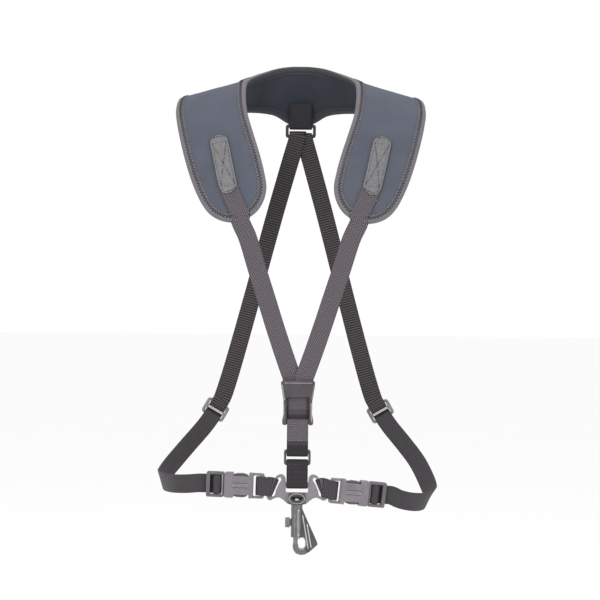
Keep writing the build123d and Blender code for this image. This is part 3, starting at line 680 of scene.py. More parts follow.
def make_yoke():
    rows = [0.02] + [i / ROW_STEPS for i in range(1, LAST_ROW * ROW_STEPS)] + [LAST_ROW - 0.02]
    vertices = []
    for face in (1, -1):
        for row in rows:
            trim = min(0.4, EDGE_INSET / max(sheet_across(row).length, 1e-5))
            for k in range(COLUMNS + 1):
                spread = 0.5 - 0.5 * math.cos(math.pi * k / COLUMNS)
                share = trim + (1 - 2 * trim) * spread
                lift = pad_swell(row, share) * face
                vertices.append(sheet_point(row, share) + sheet_normal(row, share) * lift)
    made = new_object("yoke", vertices, slab_faces(len(rows), COLUMNS, True), NEOPRENE)
    made.data.materials.append(NEOPRENE_INNER_FACE)
    inner_faces = (len(rows) - 1) * COLUMNS
    for i in range(inner_faces, 2 * inner_faces):
        made.data.polygons[i].material_index = 1
    return made


yoke = settle(make_yoke(), "neoprene", "root", "yoke_pad")

# ---- binding tape round the whole edge
TAPE_REACH = 9.6 * MM
TAPE_SKIN = 0.75 * MM


def rim_frames(step):
    """Points round the closed edge with their inward direction and outward normal."""
    found = []
    places = []
    for i in range(len(rim)):
        length = (rim[(i + 1) % len(rim)] - rim[i]).length
        count = max(2, round(length / step))
        places += [i + k / count for k in range(count)]
    points = [rim_point(place) for place in places]
    for i, place in enumerate(places):
        row = place if place <= LAST_ROW else len(rim) - place
        normal = sheet_normal(row, 0.0 if place <= LAST_ROW else 1.0)
        tangent = (points[(i + 1) % len(points)] - points[i - 1]).normalized()
        normal = (normal - tangent * normal.dot(tangent)).normalized()
        inward = normal.cross(tangent).normalized()
        if place > 0.5 and abs(place - LAST_ROW) > 0.5 and place < len(rim) - 0.5:
            toward = sheet_point(row, 0.5) - points[i]
            if inward.dot(toward) < 0:
                inward = -inward
        elif found and inward.dot(found[-1][1]) < 0:
            inward = -inward
        found.append((points[i], inward, normal))
    if found[0][1].dot(found[1][1]) < 0:
        found[0] = (found[0][0], -found[0][1], found[0][2])
    return found


def tape_level(reach):
    """Height of the tape's outer face above the yoke's middle, by the distance from the edge."""
    return PAD_HALF * 1.03 * (1 - pinch(reach)) + EDGE_HALF * pinch(reach) + TAPE_SKIN


def make_binding():
    frames = rim_frames(0.0035)
    outer = [(TAPE_REACH, tape_level(TAPE_REACH) - 0.1 * MM)]
    outer += [(TAPE_REACH * s, tape_level(TAPE_REACH * s)) for s in (0.96, 0.75, 0.5, 0.3)]
    outer += [(0.9 * MM, EDGE_HALF + 0.45 * MM), (0.05 * MM, EDGE_HALF * 0.75), (-0.35 * MM, 0.0)]
    profile = outer + [(r, -h) for r, h in outer[-2::-1]]
    inner = [
        (r + 0.55 * MM if r < 2 * MM else r, h - math.copysign(TAPE_SKIN * 0.9, h))
        for r, h in profile
    ]
    loop = profile + inner[::-1]
    ring = len(loop)
    vertices = []
    uvs = []
    travelled = 0.0
    for i, (point, inward, normal) in enumerate(frames):
        if i:
            travelled += (point - frames[i - 1][0]).length
        waver = 0.0003 * noise.noise(Vector((travelled * 60, 0.5, 9.1)))
        for k, (reach, height) in enumerate(loop):
            stretch = reach + (waver if reach > 5 * MM else 0.0)
            vertices.append(point + inward * stretch + normal * height)
            uvs.append((min(k, ring - 1 - k) * 0.0016 * 10, travelled * 10))
    faces = tube_faces(len(frames), ring, closed=True)
    made = new_object("yoke_binding", vertices, faces, BINDING, uvs)
    # The wearer-side half of the tape takes the painted shade.
    made.data.materials.append(BINDING_PAINTED_SHADE)
    middle = len(profile) // 2
    for i, face in enumerate(made.data.polygons):
        if middle <= i % ring < ring - middle:
            face.material_index = 1
    return made


settle(make_binding(), "binding_tape", "root", "neck_binding", "arm_binding")


def zigzag(frames, face, near=3.7 * MM, far=8.3 * MM, pitch=2.1 * MM):
    """Zigzag stitching between two lines that run along the edge."""
    lengths = [0.0]
    for a, b in zip(frames[:-1], frames[1:]):
        lengths.append(lengths[-1] + (b[0] - a[0]).length)
    total = lengths[-1] + (frames[0][0] - frames[-1][0]).length
    count = int(total / pitch)
    corners = []
    at = 0
    for i in range(count):
        s = total * i / count
        while at + 1 < len(lengths) and lengths[at + 1] < s:
            at += 1
        span = (lengths[at + 1] if at + 1 < len(lengths) else total) - lengths[at]
        share = (s - lengths[at]) / span
        here, beyond = frames[at], frames[(at + 1) % len(frames)]
        point, inward, normal = (a.lerp(b, share) for a, b in zip(here, beyond))
        inward, normal = inward.normalized(), normal.normalized()
        reach = near if i % 2 else far
        height = (tape_level(reach) + 0.12 * MM) * face
        corners.append((point + inward * reach + normal * height, normal * face))
    stitches = []
    for (a, na), (b, nb) in zip(corners, corners[1:] + corners[:1]):
        if (b - a).length < 8 * MM:
            stitches.append((a.lerp(b, 0.04), a.lerp(b, 0.96), (na + nb).normalized()))
    return stitches


HEM_REACH = 8.9 * MM
fine_frames = rim_frames(0.0015)
for face, name in ((1, "binding_stitches_outer"), (-1, "binding_stitches_inner")):
    hem_height = (tape_level(HEM_REACH) + 0.1 * MM) * face
    hem = [
        (point + inward * HEM_REACH + normal * hem_height, normal * face)
        for point, inward, normal in fine_frames + fine_frames[:1]
    ]
    sewn = zigzag(fine_frames, face) + running_stitch(hem, 0.0034, 0.6)
    settle(threads(name, sewn, DARK_THREAD, 0.00046), "binding_tape", "root")

# ---- local frames of the hardware
class Place:
    """A local frame given by its origin, x direction and a front direction, in millimetres."""

    def __init__(self, origin, x_dir, front=FRONT):
        self.origin = mm(*origin)
        self.x = Vector(x_dir).normalized()
        self.z = (front - self.x * front.dot(self.x)).normalized()
        self.y = self.z.cross(self.x)

    def at(self, x, y, z):
        return self.origin + (self.x * x + self.y * y + self.z * z) * MM


BUCKLES = {
    "left": ((-38.4, -102.2, -476.3), -1, 1.5, 3.0),
    "right": ((38.2, -102.2, -480.4), 1, -5.9, 13.0),
}


def buckle_place(side_name):
    origin, side, rise, yaw = BUCKLES[side_name]
    rise, yaw = math.radians(rise), math.radians(yaw)
    out = (side * math.cos(rise) * math.cos(yaw), math.sin(yaw), math.sin(rise))
    return Place(origin, out)


def slide_place(side):
    tilt = math.radians(30.0)
    return Place((side * 106.0, 80.0, -399.5), (math.cos(tilt), 0, side * math.sin(tilt)))


def arc(centre, start, toward, turn=180, count=9):
    """Points of an arc that starts along one direction and turns toward another, in degrees."""
    steps = [math.radians(turn * i / (count - 1)) for i in range(count)]
    return [centre + start * math.cos(a) + toward * math.sin(a) for a in steps]


# ---- front straps and patches
STRAP_ON_PAD = {11: 0.485, 12: 0.503, 13: 0.524, 14: 0.534, 15: 0.478, 16: 0.408, 17: 0.270}
STRAP_RUN_MM = [
    (-61.5, -90.8, -184.2), (-49.6, -93.8, -222.0), (-39.6, -96.6, -252.7),
    (-28.6, -98.6, -287.0),
]
STRAP_END_MM = [(-18.7, -316.5), (-11.4, -337.3), (-6.9, -350.3), (-4.4, -362.0)]
STRAP_LIFT = 1.25 * MM
PATCH_LIFT = STRAP_LIFT + WEB / 2 + 0.95 * MM


def strap_share(place):
    low = min(max(int(place), 11), 16)
    rest = place - low
    return STRAP_ON_PAD[low] * (1 - rest) + STRAP_ON_PAD[low + 1] * rest


def pad_row(place, side):
    """Row of the yoke for a station of one lobe."""
    return CENTRE_ROW + side * place


PATCH_STATIONS = (11.05, 14.2)
PATCH_ROWS = 30
PATCH_HALF_WIDTH = 10.9 * MM
PATCH_THICK = 0.8 * MM
SEAM_IN = 2.3 * MM
SEAM_LEVEL = PATCH_THICK + 0.02 * MM


def make_patch(side_name, side):
    """Leather patch with round ends over the sewn end of the strap."""
    centre = []
    travelled = [0.0]
    for i in range(PATCH_ROWS + 1):
        place = PATCH_STATIONS[0] + (PATCH_STATIONS[1] - PATCH_STATIONS[0]) * i / PATCH_ROWS
        centre.append(pad_surface(pad_row(place, side), strap_share(place), PATCH_LIFT))
        if i:
            travelled.append(travelled[-1] + (centre[i][0] - centre[i - 1][0]).length)
    total = travelled[-1]

    def at(s, x, lift):
        """A point on the patch and its normal: s along it, x across it."""
        s = min(max(s, 0.0), total)
        k = 0
        while k < PATCH_ROWS - 1 and travelled[k + 1] < s:
            k += 1
        share = (s - travelled[k]) / (travelled[k + 1] - travelled[k])
        (a, normal_a), (b, normal_b) = centre[k], centre[k + 1]
        normal = normal_a.lerp(normal_b, share).normalized()
        wide = (b - a).normalized().cross(normal).normalized()
        return a.lerp(b, share) + wide * x + normal * lift, normal

    def half_at(s):
        """Half width of the round-ended outline."""
        short = max(0.0, 1 - min(s, total - s) / PATCH_HALF_WIDTH)
        return PATCH_HALF_WIDTH * math.sqrt(max(0.0, 1 - short**2))

    steps, columns = 56, 16
    vertices = []
    for face in (1, -1):
        for i in range(steps + 1):
            s = total * (0.5 - 0.5 * math.cos(math.pi * i / steps))
            wide = half_at(s)
            for k in range(columns + 1):
                x = wide * math.sin(math.pi / 2 * (-1 + 2 * k / columns))
                edge = min(wide - abs(x), s, total - s)
                roll = 1 - math.exp(-edge / (0.7 * MM))
                sewn = math.exp(-(((edge - SEAM_IN) / (0.6 * MM)) ** 2))
                lift = PATCH_THICK * (0.25 + 0.75 * roll) - 0.16 * MM * sewn
                vertices.append(at(s, x, lift if face > 0 else -PATCH_THICK * 0.9)[0])
    faces = slab_faces(steps + 1, columns, False)
    patch = new_object(f"{side_name}_leather_patch", vertices, faces, LEATHER)
    settle(patch, "leather_patch", "root", f"{side_name}_patch")

    along = [SEAM_IN + (total - 2 * SEAM_IN) * i / 60 for i in range(61)]
    outline = [at(s, half_at(s) - SEAM_IN, SEAM_LEVEL) for s in along]
    back = [at(s, SEAM_IN - half_at(s), SEAM_LEVEL) for s in along[::-1]]
    top = 10.5 * MM
    low = total - 9.5 * MM
    reach = PATCH_HALF_WIDTH - SEAM_IN
    stitches = running_stitch(outline + back + outline[:1])
    for s0, x0, s1, x1 in (
        (top, -reach, top, reach), (low, -reach, low, reach),
        (top, -reach, low, reach), (top, reach, low, -reach),
    ):
        stitches += running_stitch(
            [at(s0 + (s1 - s0) * i / 16, x0 + (x1 - x0) * i / 16, SEAM_LEVEL) for i in range(17)]
        )
    sewing = threads(f"{side_name}_patch_stitches", stitches, DARK_THREAD, 0.0005)
    settle(sewing, "leather_patch", "root")


STRAP_DEPTH_MM = {"left": -100.05, "right": -101.85}
for side_name, side in SIDES:
    make_patch(side_name, side)
    points = []
    across = []
    for i in range(15):
        place = 11.15 + (17.25 - 11.15) * i / 14
        row = pad_row(place, side)
        points.append(pad_surface(row, strap_share(place), STRAP_LIFT)[0])
        across.append(sheet_across(row).normalized())
    run = STRAP_RUN_MM + [(x, STRAP_DEPTH_MM[side_name], z) for x, z in STRAP_END_MM]
    points += [mm(-side * x, y, z) for x, y, z in run]
    across += [Vector((side * 0.95, 0.0, -0.31))] * (len(run) - 1) + [Vector((side, 0.0, -0.1))]
    strap = webbing(f"{side_name}_v_strap", points, across, 22.0, TWILL, ripple=0.0004)
    settle(strap, "charcoal_webbing", "root", f"{side_name}_front_strap")

# ---- centre webbing
PLATE_Y = -102.2
RING_BAR_Z = -438.1
RING_TURN = 3.05 * MM
SLIDER_TURN = 2.5 * MM
LOOP_TURN = 3.05 * MM
ring_bend = mm(0, PLATE_Y, RING_BAR_Z + 0.5)
down_turn = Vector((0, 0, -RING_TURN))
rear_path = [mm(0, -98.25, z) for z in (-349, -380, -405, -422)]
rear_path += arc(ring_bend, BACK * RING_TURN, down_turn, 88, 6)
centre_strap = webbing("centre_webbing_rear", rear_path, X_WIDE, 25.0, TWILL, step=0.0015)
# Painted shade: the webbing in the slider's window is darker towards the window's bottom.
recolour(centre_strap, TWILL_PAINTED_HALF_SHADE, lambda at: -391.5 <= at.z < -386.5)
recolour(centre_strap, TWILL_PAINTED_SHADE, lambda at: -404.0 < at.z < -391.5)
rear_span = ("root", "lower_front", mm(0, -98.25, -374), mm(0, -98.25, -431))
settle(centre_strap, "charcoal_webbing", rear_span, "centre_strap")

front_path = arc(ring_bend, FRONT * RING_TURN, down_turn, 88, 6)[::-1]
front_path += [mm(0, -105.25, -424), mm(0, -105.25, -412)]
front_path += arc(mm(0, -102.75, -400.1), FRONT * SLIDER_TURN, Vector((0, 0, SLIDER_TURN)))
front_path += [mm(0, -100.25, -410), mm(0, -100.25, -421)]
front_loop = webbing("centre_webbing_front", front_path, X_WIDE, 25.0, TWILL, step=0.0012)
# Painted shade: the loop below the hem is darker towards the ring.
recolour(front_loop, TWILL_PAINTED_SHADE, lambda at: -428.0 <= at.z < -422.5)
recolour(front_loop, TWILL_SHADE, lambda at: at.z < -428.0)
front_span = ("lower_front", "front_slider_body", mm(0, -105.2, -436), mm(0, -105.2, -408))
settle(front_loop, "charcoal_webbing", front_span, "slider_loop")


def level_stitches(name, z, y, width, material, body):
    """A row of stitches straight across a webbing's front face."""
    line = [(Vector((width * (-0.5 + i / 20), y * MM, z * MM)), FRONT) for i in range(21)]
    sewing = threads(name, running_stitch(line, 0.0015, 0.8), material, 0.00026)
    settle(sewing, "charcoal_webbing", body)


level_stitches("centre_hem_stitches", -422.0, -106.05, 19.0 * MM, GREY_THREAD, front_span)

loop_high = mm(0, PLATE_Y, -448.2)
loop_low = mm(0, PLATE_Y, -475.2)
lower_path = [mm(0, PLATE_Y + 3.05, -461.5)]
lower_path += arc(loop_high, BACK * LOOP_TURN, mm(0, 0, 3.15)) + [mm(0, PLATE_Y - 3.2, -461.5)]
lower_path += arc(loop_low, FRONT * LOOP_TURN, mm(0, 0, -3.05)) + [mm(0, PLATE_Y + 3.05, -462.5)]
lower_web = webbing("lower_webbing_loop", lower_path, X_WIDE, 25.0, LOOP_WEB, step=0.0012,
                    ribs=(1.5 * MM, 0.12 * MM))
settle(lower_web, "charcoal_webbing", "lower_front", "lower_loop")
for name, z, y, width in (
    ("lower_loop_stitches", -458.8, PLATE_Y - 4.35, 21.0 * MM),
    ("lower_loop_top_stitches", -450.6, PLATE_Y - 4.3, 20.0 * MM),
):
    level_stitches(name, z, y, width, SEAM_THREAD, "lower_front")

# ---- link loops
for side_name, side in SIDES:
    place = buckle_place(side_name)
    bar_mid = place.at(5.6, 0, 0)
    bar_axis = place.y if place.y.z > 0 else -place.y
    wing_top = mm(side * 24.9, PLATE_Y, -467.3)
    wing_end = mm(side * 33.5, PLATE_Y, -487.3)
    wing_mid = wing_top.lerp(wing_end, 0.5)
    wing_axis = (wing_top - wing_end).normalized()
    wing_inward = BACK.cross(wing_axis) * -side
    at_buckle = 3.8 * MM
    at_wing = 3.35 * MM
    buckle_turn = arc(bar_mid, place.z * at_buckle, place.x * at_buckle)
    wing_turn = arc(wing_mid, BACK * at_wing, wing_inward * at_wing)
    seam_low = buckle_turn[-1].lerp(wing_turn[0], 0.45)
    seam_high = buckle_turn[-1].lerp(wing_turn[0], 0.55)
    path = [seam_high] + wing_turn + buckle_turn + [seam_low]
    seam = (bar_axis + wing_axis).normalized()
    across = [seam] + [wing_axis] * 9 + [bar_axis] * 9 + [seam]
    link = webbing(f"{side_name}_link_webbing", path, across, 22.0, LINK_WEB, step=0.001,
                   ribs=(1.5 * MM, 0.1 * MM), ripple=0.0003)
    link_span = ("root", "lower_front", bar_mid, wing_mid)
    settle(link, "charcoal_webbing", link_span, f"{side_name}_link_loop")

# ---- neck tab
TAB_TURN = 3.0 * MM
tab_path = [mm(0, 61.2, -7.3), mm(0, 61.8, -15), mm(0, 62.4, -24)]
tab_path += arc(mm(0, 65.8, -35.9), FRONT * TAB_TURN, Vector((0, 0, -TAB_TURN)))
tab_path += [mm(0, 68.2, -28), mm(0, 65.5, -9.5)]
tab = webbing("neck_tab_web", tab_path, X_WIDE, 28.8, TAB_WEB, step=0.0015,
              ribs=(1.2 * MM, 0.06 * MM), thick=1.9 * MM)
settle(tab, "black_webbing", "root", "neck_tab")


def on_tab(x, z):
    return mm(x, 61.2 + (-7.3 - z) * 0.072 - 1.02, z)


tab_box = []
box = [on_tab(x, z) for x, z in ((-12.4, -9.6), (12.4, -9.6), (12.4, -29.0), (-12.4, -29.0))]
for a, b in zip(box + [box[0], box[1]], box[1:] + [box[0], box[2], box[3]]):
    tab_box += running_stitch([(a.lerp(b, i / 12), FRONT) for i in range(13)], 0.0026)
settle(threads("neck_tab_stitches", tab_box, DARK_THREAD, 0.00034), "black_webbing", "root")

# ---- rear straps and side straps
SIDE_ROUTES_MM = {
    "left": [
        ((-119.5, 75.5, -420.3), (-0.82, 0.0, 0.57)),
        ((-141.0, 65.5, -445.5), (-0.78, 0.0, 0.63)),
        ((-157.0, 47.0, -464.5), (-0.68, 0.0, 0.73)),
        ((-166.5, 20.0, -476.5), (-0.46, 0.0, 0.89)),
        ((-168.0, -10.0, -479.5), (-0.3, 0.0, 0.95)),
        ((-161.0, -42.0, -479.5), (-0.16, 0.0, 0.98)),
        ((-145.0, -76.0, -477.5), (-0.04, 0.0, 1.0)),
        ((-128.0, -92.0, -475.5), (0.0, 0.0, 1.0)),
    ],
    "right": [
        ((119.0, 75.5, -419.5), (0.83, 0.0, 0.56)),
        ((136.5, 67.0, -440.5), (0.83, 0.0, 0.56)),
        ((152.0, 50.0, -461.0), (0.86, 0.0, 0.51)),
        ((163.0, 22.0, -484.0), (0.8, 0.0, 0.6)),
        ((165.0, -5.0, -495.5), (0.58, 0.0, 0.81)),
        ((156.5, -34.0, -500.0), (0.28, 0.0, 0.96)),
        ((139.0, -62.0, -498.0), (0.06, 0.0, 1.0)),
        ((122.0, -77.0, -493.0), (-0.02, 0.0, 1.0)),
    ],
}
BUCKLE_TURN_MM = [
    (77.0, -4.2), (69.6, -4.6), (64.2, -4.6), (61.4, -3.4), (60.0, -1.0), (59.4, 1.2),
    (57.8, 2.5), (53.6, 2.5), (51.7, 1.2), (51.3, -1.2), (51.3, -4.0), (53.4, -6.2),
    (60.0, -6.6), (72.0, -6.6),
]
SPLIT_AT = 5
BAR_Z = -47.6
BEND_TURN_MM = {"left": 5.05, "right": 3.05}
# Across the slide, and out of its face, where the rear strap ends and the side strap starts.
REAR_END_MM = [(20, 2.0), (13, 3.2), (7.4, 3.5), (4.0, 2.0), (2.9, 0.0)]
SIDE_START_MM = [(0.4, -3.1), (-2.6, -2.8), (-4.5, -0.7), (-5.2, 1.6), (-7.0, 3.2), (-11.5, 3.3)]

for side_name, side in SIDES:
    slide = slide_place(side)
    slide_body = f"{side_name}_rear_slide_body"
    turn = BEND_TURN_MM[side_name] * MM
    bend = mm(side * 3.7, 65.8, BAR_Z)
    down = (slide.at(0, 12, 0) - bend).normalized()
    strap_wide = (X_WIDE - down * down.dot(X_WIDE)).normalized()
    points = [slide.at(0, -0.6, -2.9), slide.at(0, 14, -2.9)]
    points += [bend + down * 0.09 + BACK * 0.0026, bend + down * 0.034 + BACK * turn]
    points += arc(bend, BACK * turn, Vector((0, 0, turn)))
    points += [bend + down * 0.034 + FRONT * turn, bend + down * 0.09 + FRONT * 0.0026]
    points += [slide.at(0, y, z) for y, z in REAR_END_MM]
    across = [slide.x] + [strap_wide] * 3 + [X_WIDE] * 9 + [strap_wide] * 3 + [slide.x] * 4
    rear = webbing(f"{side_name}_back_webbing", points, across, 21.5, BLACK_WEB, step=0.0006,
                   ribs=(3.1 * MM, 0.2 * MM), ripple=0.0003)
    slide_mid = slide.at(0, 8, 0)
    rear_span = ("root", slide_body, slide_mid - down * 0.075, slide_mid)
    settle(rear, "black_webbing", rear_span, f"{side_name}_rear_strap")

    buckle = buckle_place(side_name)
    upright = buckle.y if buckle.y.z > 0 else -buckle.y
    route = [(mm(*point), Vector(wide)) for point, wide in SIDE_ROUTES_MM[side_name]]
    whole = [(slide.at(0, y, z), slide.x * side) for y, z in SIDE_START_MM] + route
    whole += [(buckle.at(x, 0, z), upright) for x, z in BUCKLE_TURN_MM]
    points, across = dense([point for point, wide in whole], [wide for point, wide in whole], 0.002)
    middle = route[SPLIT_AT - 1][0]
    cut = min(range(len(points)), key=lambda i: (points[i] - middle).length)
    covered = sum((b - a).length for a, b in zip(points[:cut], points[1:cut + 1]))
    for part, piece, start, span in (
        ("rear", slice(0, cut + 1), 0.0, (slide_body, "root", slide.at(0, -12, 0), route[2][0])),
        ("front", slice(cut, None), covered,
         ("root", f"{side_name}_plug_body", route[SPLIT_AT][0], buckle.at(72, 0, 0))),
    ):
        web = webbing(f"{side_name}_side_webbing_{part}", points[piece], across[piece], 22.0,
                      TWILL_DARK, ripple=0.0003, travelled=start)
        settle(web, "charcoal_webbing", span, f"{side_name}_side_strap")


# ---- moulded hardware
def moulded(node, voxel, rounds, material=None):
    """A copy of a CAD piece with its edges rounded off as a moulding's are."""
    source = frame["nodes"][node]
    mesh = bpy.data.meshes.new(f"{node}_moulded")
    copy = bmesh.new()
    copy.from_mesh(source.data)
    copy.transform(source.matrix_world)
    bmesh.ops.remove_doubles(copy, verts=copy.verts, dist=1e-6)
    copy.to_mesh(mesh)
    copy.free()
    made = bpy.data.objects.new(f"{node}_moulded", mesh)
    bpy.context.scene.collection.objects.link(made)
    remesh = made.modifiers.new("remesh", "REMESH")
    remesh.mode = "VOXEL"
    remesh.voxel_size = voxel
    smooth = made.modifiers.new("smooth", "SMOOTH")
    smooth.factor = 0.5
    smooth.iterations = rounds
    bpy.context.view_layer.update()
    depsgraph = bpy.context.evaluated_depsgraph_get()
    final = bpy.data.meshes.new_from_object(made.evaluated_get(depsgraph))
    made.modifiers.clear()
    made.data = final
    final.materials.clear()
    final.materials.append(material or MATERIAL_SLOT[SLOT_OF[node]])
    final.polygons.foreach_set("use_smooth", [True] * len(final.polygons))
    return settle(made, SLOT_OF[node], BODY_OF[node], node)


MOULDED = {
    "front_slider": (0.00036, 4), "centre_ring": (0.00033, 4), "hook_plate": (0.00032, 4),
    "hook_body": (0.00028, 4), "thumb_knob": (0.0003, 4), "neck_ring": (0.00035, 4),
    "left_rear_slide": (0.00035, 4), "right_rear_slide": (0.00035, 4),
    "left_buckle_socket": (0.00042, 3), "right_buckle_socket": (0.00042, 3),
    "left_buckle_plug": (0.0004, 3, PLUG), "right_buckle_plug": (0.0004, 3, PLUG),
    # The release arms take the darker plastic of painted shade.
    "left_release_arm_upper": (0.00035, 3, ARM_PAINTED_SHADE), "left_release_arm_lower": (0.00035, 3, ARM_PAINTED_SHADE),
    "right_release_arm_upper": (0.00035, 3, ARM_PAINTED_SHADE), "right_release_arm_lower": (0.00035, 3, ARM_PAINTED_SHADE),
}
shaped = {node: moulded(node, *how) for node, how in MOULDED.items()}
recolour(
    shaped["hook_plate"], SLIDER,
    lambda at: abs(at.x) < 9.9 and -497.6 < at.z < -483.4 and at.y < PLATE_Y - 2.2,
)
# Painted shade: the hook's blade is darker than its barrel.
recolour(
    shaped["hook_body"], HOOK_BLADE_PAINTED_SHADE, lambda at: at.x > max(4.6, 5.0 - 0.55 * (at.z + 540.0))
)


def strip(name, start, end, wide, height, up, material, body, slot):
    """A raised moulded bead with round ends. Its width and height are in millimetres."""
    run = end - start
    tangent = run.normalized()
    up = (up - tangent * up.dot(tangent)).normalized()
    side_way = tangent.cross(up)
    half_wide = wide * MM / 2
    steps, around = 18, circle(12)
    vertices = []
    for i in range(steps + 1):
        share = i / steps
        end_reach = min(share, 1 - share) * run.length
        swell = math.sqrt(max(0.0, 1 - max(0.0, 1 - end_reach / half_wide) ** 2))
        rise = up * (height * MM * max(0.02, swell))
        for c, s in around:
            vertices.append(start + run * share + side_way * (half_wide * swell * c) + rise * s)
    made = new_object(name, vertices, tube_faces(steps + 1, len(around)), material)
    settle(made, slot, body)


def front_level(node, place, x_range, y_range):
    """How far the node's front face stands out along the local z, over a window of it."""
    level = 0.0
    for vertex in frame["nodes"][node].data.vertices:
        local = vertex.co - place.origin
        x, y = local.dot(place.x) / MM, local.dot(place.y) / MM
        if x_range[0] < x < x_range[1] and y_range[0] < y < y_range[1]:
            level = max(level, local.dot(place.z) / MM)
    return level


ON_SLIDER = ("front_slider_body", "slider_plastic")
ON_PLATE = ("lower_front", "plate_plastic")
ON_HOOK = ("hook", "hook_plastic")
for side_name, side in SIDES:
    place = buckle_place(side_name)
    face = front_level(f"{side_name}_buckle_socket", place, (10, 47), (-15, 15))
    for row, y in enumerate((-2.5, 2.5)):
        strip(f"{side_name}_label_rim_{row}", place.at(19, y, face), place.at(38, y, face),
              0.9, 0.3, place.z, SLIDER, "root", "buckle_plastic")
    strip(f"{side_name}_label_strip", place.at(19.5, 0, face - 0.1), place.at(37.5, 0, face - 0.1),
          3.6, 0.22, place.z, BUCKLE, "root", "buckle_plastic")
    slide = slide_place(side)
    # A lighter bead of painted highlight along the rear slide's bar.
    strip(f"{side_name}_slide_bar_shine", slide.at(-10.6, 0, 1.9), slide.at(10.6, 0, 1.9),
          3.0, 0.5, slide.z, SLIDE_BAR_PAINTED_HIGHLIGHT, f"{side_name}_rear_slide_body", "slide_plastic")
    # Beads on each side of the slider: the wall is painted shade down the window's edge, the rim
    # and leg rim are painted highlights on the outer edges.
    for name, y, (top_x, top_z), (foot_x, foot_z), wide, height, material in (
        ("wall", -100.4, (13.05, -371.0), (13.05, -402.5), 1.5, 1.8, PAINTED_SHADE_GLOSS),
        ("rim", -105.0, (18.9, -356.5), (15.7, -375.5), 1.6, 0.5, SLIDE),
        ("leg_painted_highlight", -105.0, (15.4, -378.0), (16.4, -400.5), 1.5, 0.5, SLIDE),
    ):
        top, foot = mm(side * top_x, y, top_z), mm(side * foot_x, y, foot_z)
        strip(f"{side_name}_slider_{name}", top, foot, wide, height, FRONT, material, *ON_SLIDER)
# A lighter bead of painted highlight along the slider's top edge.
strip("slider_top_painted_highlight", mm(-17.0, -105.0, -354.9), mm(17.0, -105.0, -354.9),
      1.1, 0.4, FRONT, BUCKLE, *ON_SLIDER)


def oval_rim(name, centre, wide, high, tube, material, body, slot, angles=None):
    """A round bead along an oval that faces the front, with its sizes in millimetres.

    It is whole, or runs between two angles in degrees.
    """
    steps, around = 40, circle(10)
    first, last = angles or (0, 360)
    rings = steps + 1 if angles else steps
    vertices = []
    for i in range(rings):
        turn = math.radians(first + (last - first) * i / steps)
        out = Vector((math.cos(turn), 0, math.sin(turn)))
        middle = centre + mm(wide / 2 * out.x, 0, high / 2 * out.z)
        vertices += [middle + (out * c + FRONT * s) * (tube * MM) for c, s in around]
    faces = tube_faces(rings, len(around), closed=not angles)
    settle(new_object(name, vertices, faces, material), slot, body)


HOUSING_FRONT = PLATE_Y - 4.5
HOOK_FACE = PLATE_Y - 3.7
# Painted shade in the housing's eye: a dark ring round it and a dark slab behind it.
oval_rim("housing_eye_painted_shade", mm(0, HOUSING_FRONT, -489.6), 14.6, 7.0, 0.75, PAINTED_SHADE_GLOSS, *ON_PLATE)
oval_rim("housing_outer_rim", mm(0, HOUSING_FRONT + 0.1, -490.4), 18.0, 11.6, 0.6, PLATE, *ON_PLATE)
strip("housing_back_painted_shade", mm(-8.4, PLATE_Y + 3.9, -489.6), mm(8.4, PLATE_Y + 3.9, -489.6),
      9.0, 0.5, FRONT, PAINTED_SHADE_GLOSS, *ON_PLATE)
# The blade's ribs are raised beads in the lighter plastic of painted highlight.
for row, (foot_x, foot_z, head_x, head_z) in enumerate(
    ((13.9, -549.5, 6.9, -509.0), (17.4, -548.0, 12.2, -519.5))
):
    strip(f"hook_blade_rib_{row}", mm(foot_x, HOOK_FACE, foot_z), mm(head_x, HOOK_FACE, head_z),
          1.25, 0.45, FRONT, HOOK_RIB_PAINTED_HIGHLIGHT, *ON_HOOK)
# Lighter beads of painted highlight down the hook's barrel and round its eye.
strip("hook_barrel_painted_highlight", mm(2.3, PLATE_Y - 4.25, -501.6), mm(2.5, PLATE_Y - 4.25, -535.2),
      3.0, 0.5, Vector((0.6, -0.8, 0)), SLIDE, *ON_HOOK)
oval_rim("hook_eye_painted_highlight", mm(6.1, PLATE_Y - 3.1, -542.5), 9.6, 14.4, 0.6, SLIDE, *ON_HOOK,
         angles=(-150, 75))


def make_spring():
    """Coil spring over the plunger's spigot, with closed ends."""
    turns = 6.5
    radius = 2.8 * MM
    wire = 0.32 * MM
    low, high = -513.55 * MM, -503.9 * MM
    steps, around = 200, circle(8)
    vertices = []
    for i in range(steps + 1):
        turn = 2 * math.pi * turns * i / steps
        share = min(max((i / steps - 0.08) / 0.84, 0.0), 1.0)
        reach = Vector((math.cos(turn), math.sin(turn), 0))
        middle = mm(-1.2, PLATE_Y, 0) + reach * radius + Vector((0, 0, low + (high - low) * share))
        vertices += [middle + reach * (wire * c) + Vector((0, 0, wire * s)) for c, s in around]
    return new_object("coil_spring", vertices, tube_faces(steps + 1, len(around)), STEEL)


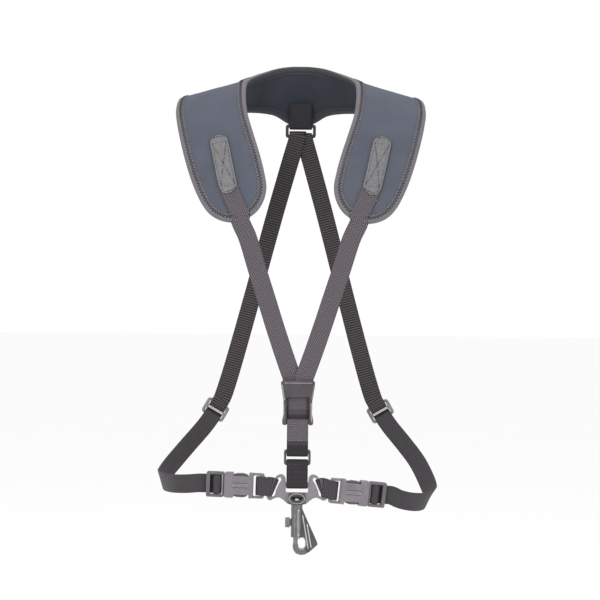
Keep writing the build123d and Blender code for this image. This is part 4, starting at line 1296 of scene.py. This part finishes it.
spring = settle(make_spring(), "steel", "plunger_body", "plunger_spring")
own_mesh(spring)

for node, piece in frame["nodes"].items():
    for slot in piece.material_slots:
        slot.material = MATERIAL_SLOT[SLOT_OF[node]]
    if piece.hide_render:
        continue
    bevel = piece.modifiers.new("edge", "BEVEL")
    bevel.width = 0.00025
    bevel.segments = 2
    bevel.limit_method = "ANGLE"
    bevel.angle_limit = math.radians(40)

# ---- floor and light
floor_mesh = bpy.data.meshes.new("floor")
reach = 30.0
floor_mesh.from_pydata(
    [(-reach, -reach, 0), (reach, -reach, 0), (reach, reach, 0), (-reach, reach, 0)], [],
    [(0, 1, 2, 3)],
)
floor = bpy.data.objects.new("floor", floor_mesh)
floor.location = (0, 0, -0.95)
bpy.context.scene.collection.objects.link(floor)
floor_finish = Finish("pale_floor", 0.9)
cloud = floor_finish.grain(floor_finish.place(), 3.0)
floor_finish.colour(cloud, (0.95, 0.95, 0.95), (0.97, 0.97, 0.97))
floor_mesh.materials.append(floor_finish.material)

world = bpy.data.worlds.new("studio")
world.use_nodes = True
world.node_tree.nodes["Background"].inputs[0].default_value = (1.0, 1.0, 1.0, 1.0)
world.node_tree.nodes["Background"].inputs[1].default_value = 1.0
bpy.context.scene.world = world


def soft_light(name, place, aim, size, power):
    data = bpy.data.lights.new(name, "AREA")
    data.shape = "RECTANGLE"
    data.size = size[0]
    data.size_y = size[1]
    data.energy = power
    lamp = bpy.data.objects.new(name, data)
    lamp.location = place
    lamp.rotation_euler = (Vector(aim) - Vector(place)).to_track_quat("-Z", "Y").to_euler()
    bpy.context.scene.collection.objects.link(lamp)


soft_light("key", (-0.9, -1.7, 1.0), (0, 0, -0.25), (0.7, 0.7), 9)
soft_light("strip_left", (-0.55, -1.5, -0.25), (0, 0, -0.4), (0.07, 1.3), 3.2)
soft_light("strip_right", (0.95, -1.3, -0.3), (0, 0, -0.4), (0.07, 1.3), 3.2)
soft_light("top", (0.1, 0.3, 1.5), (0, 0, -0.1), (1.0, 1.0), 9)
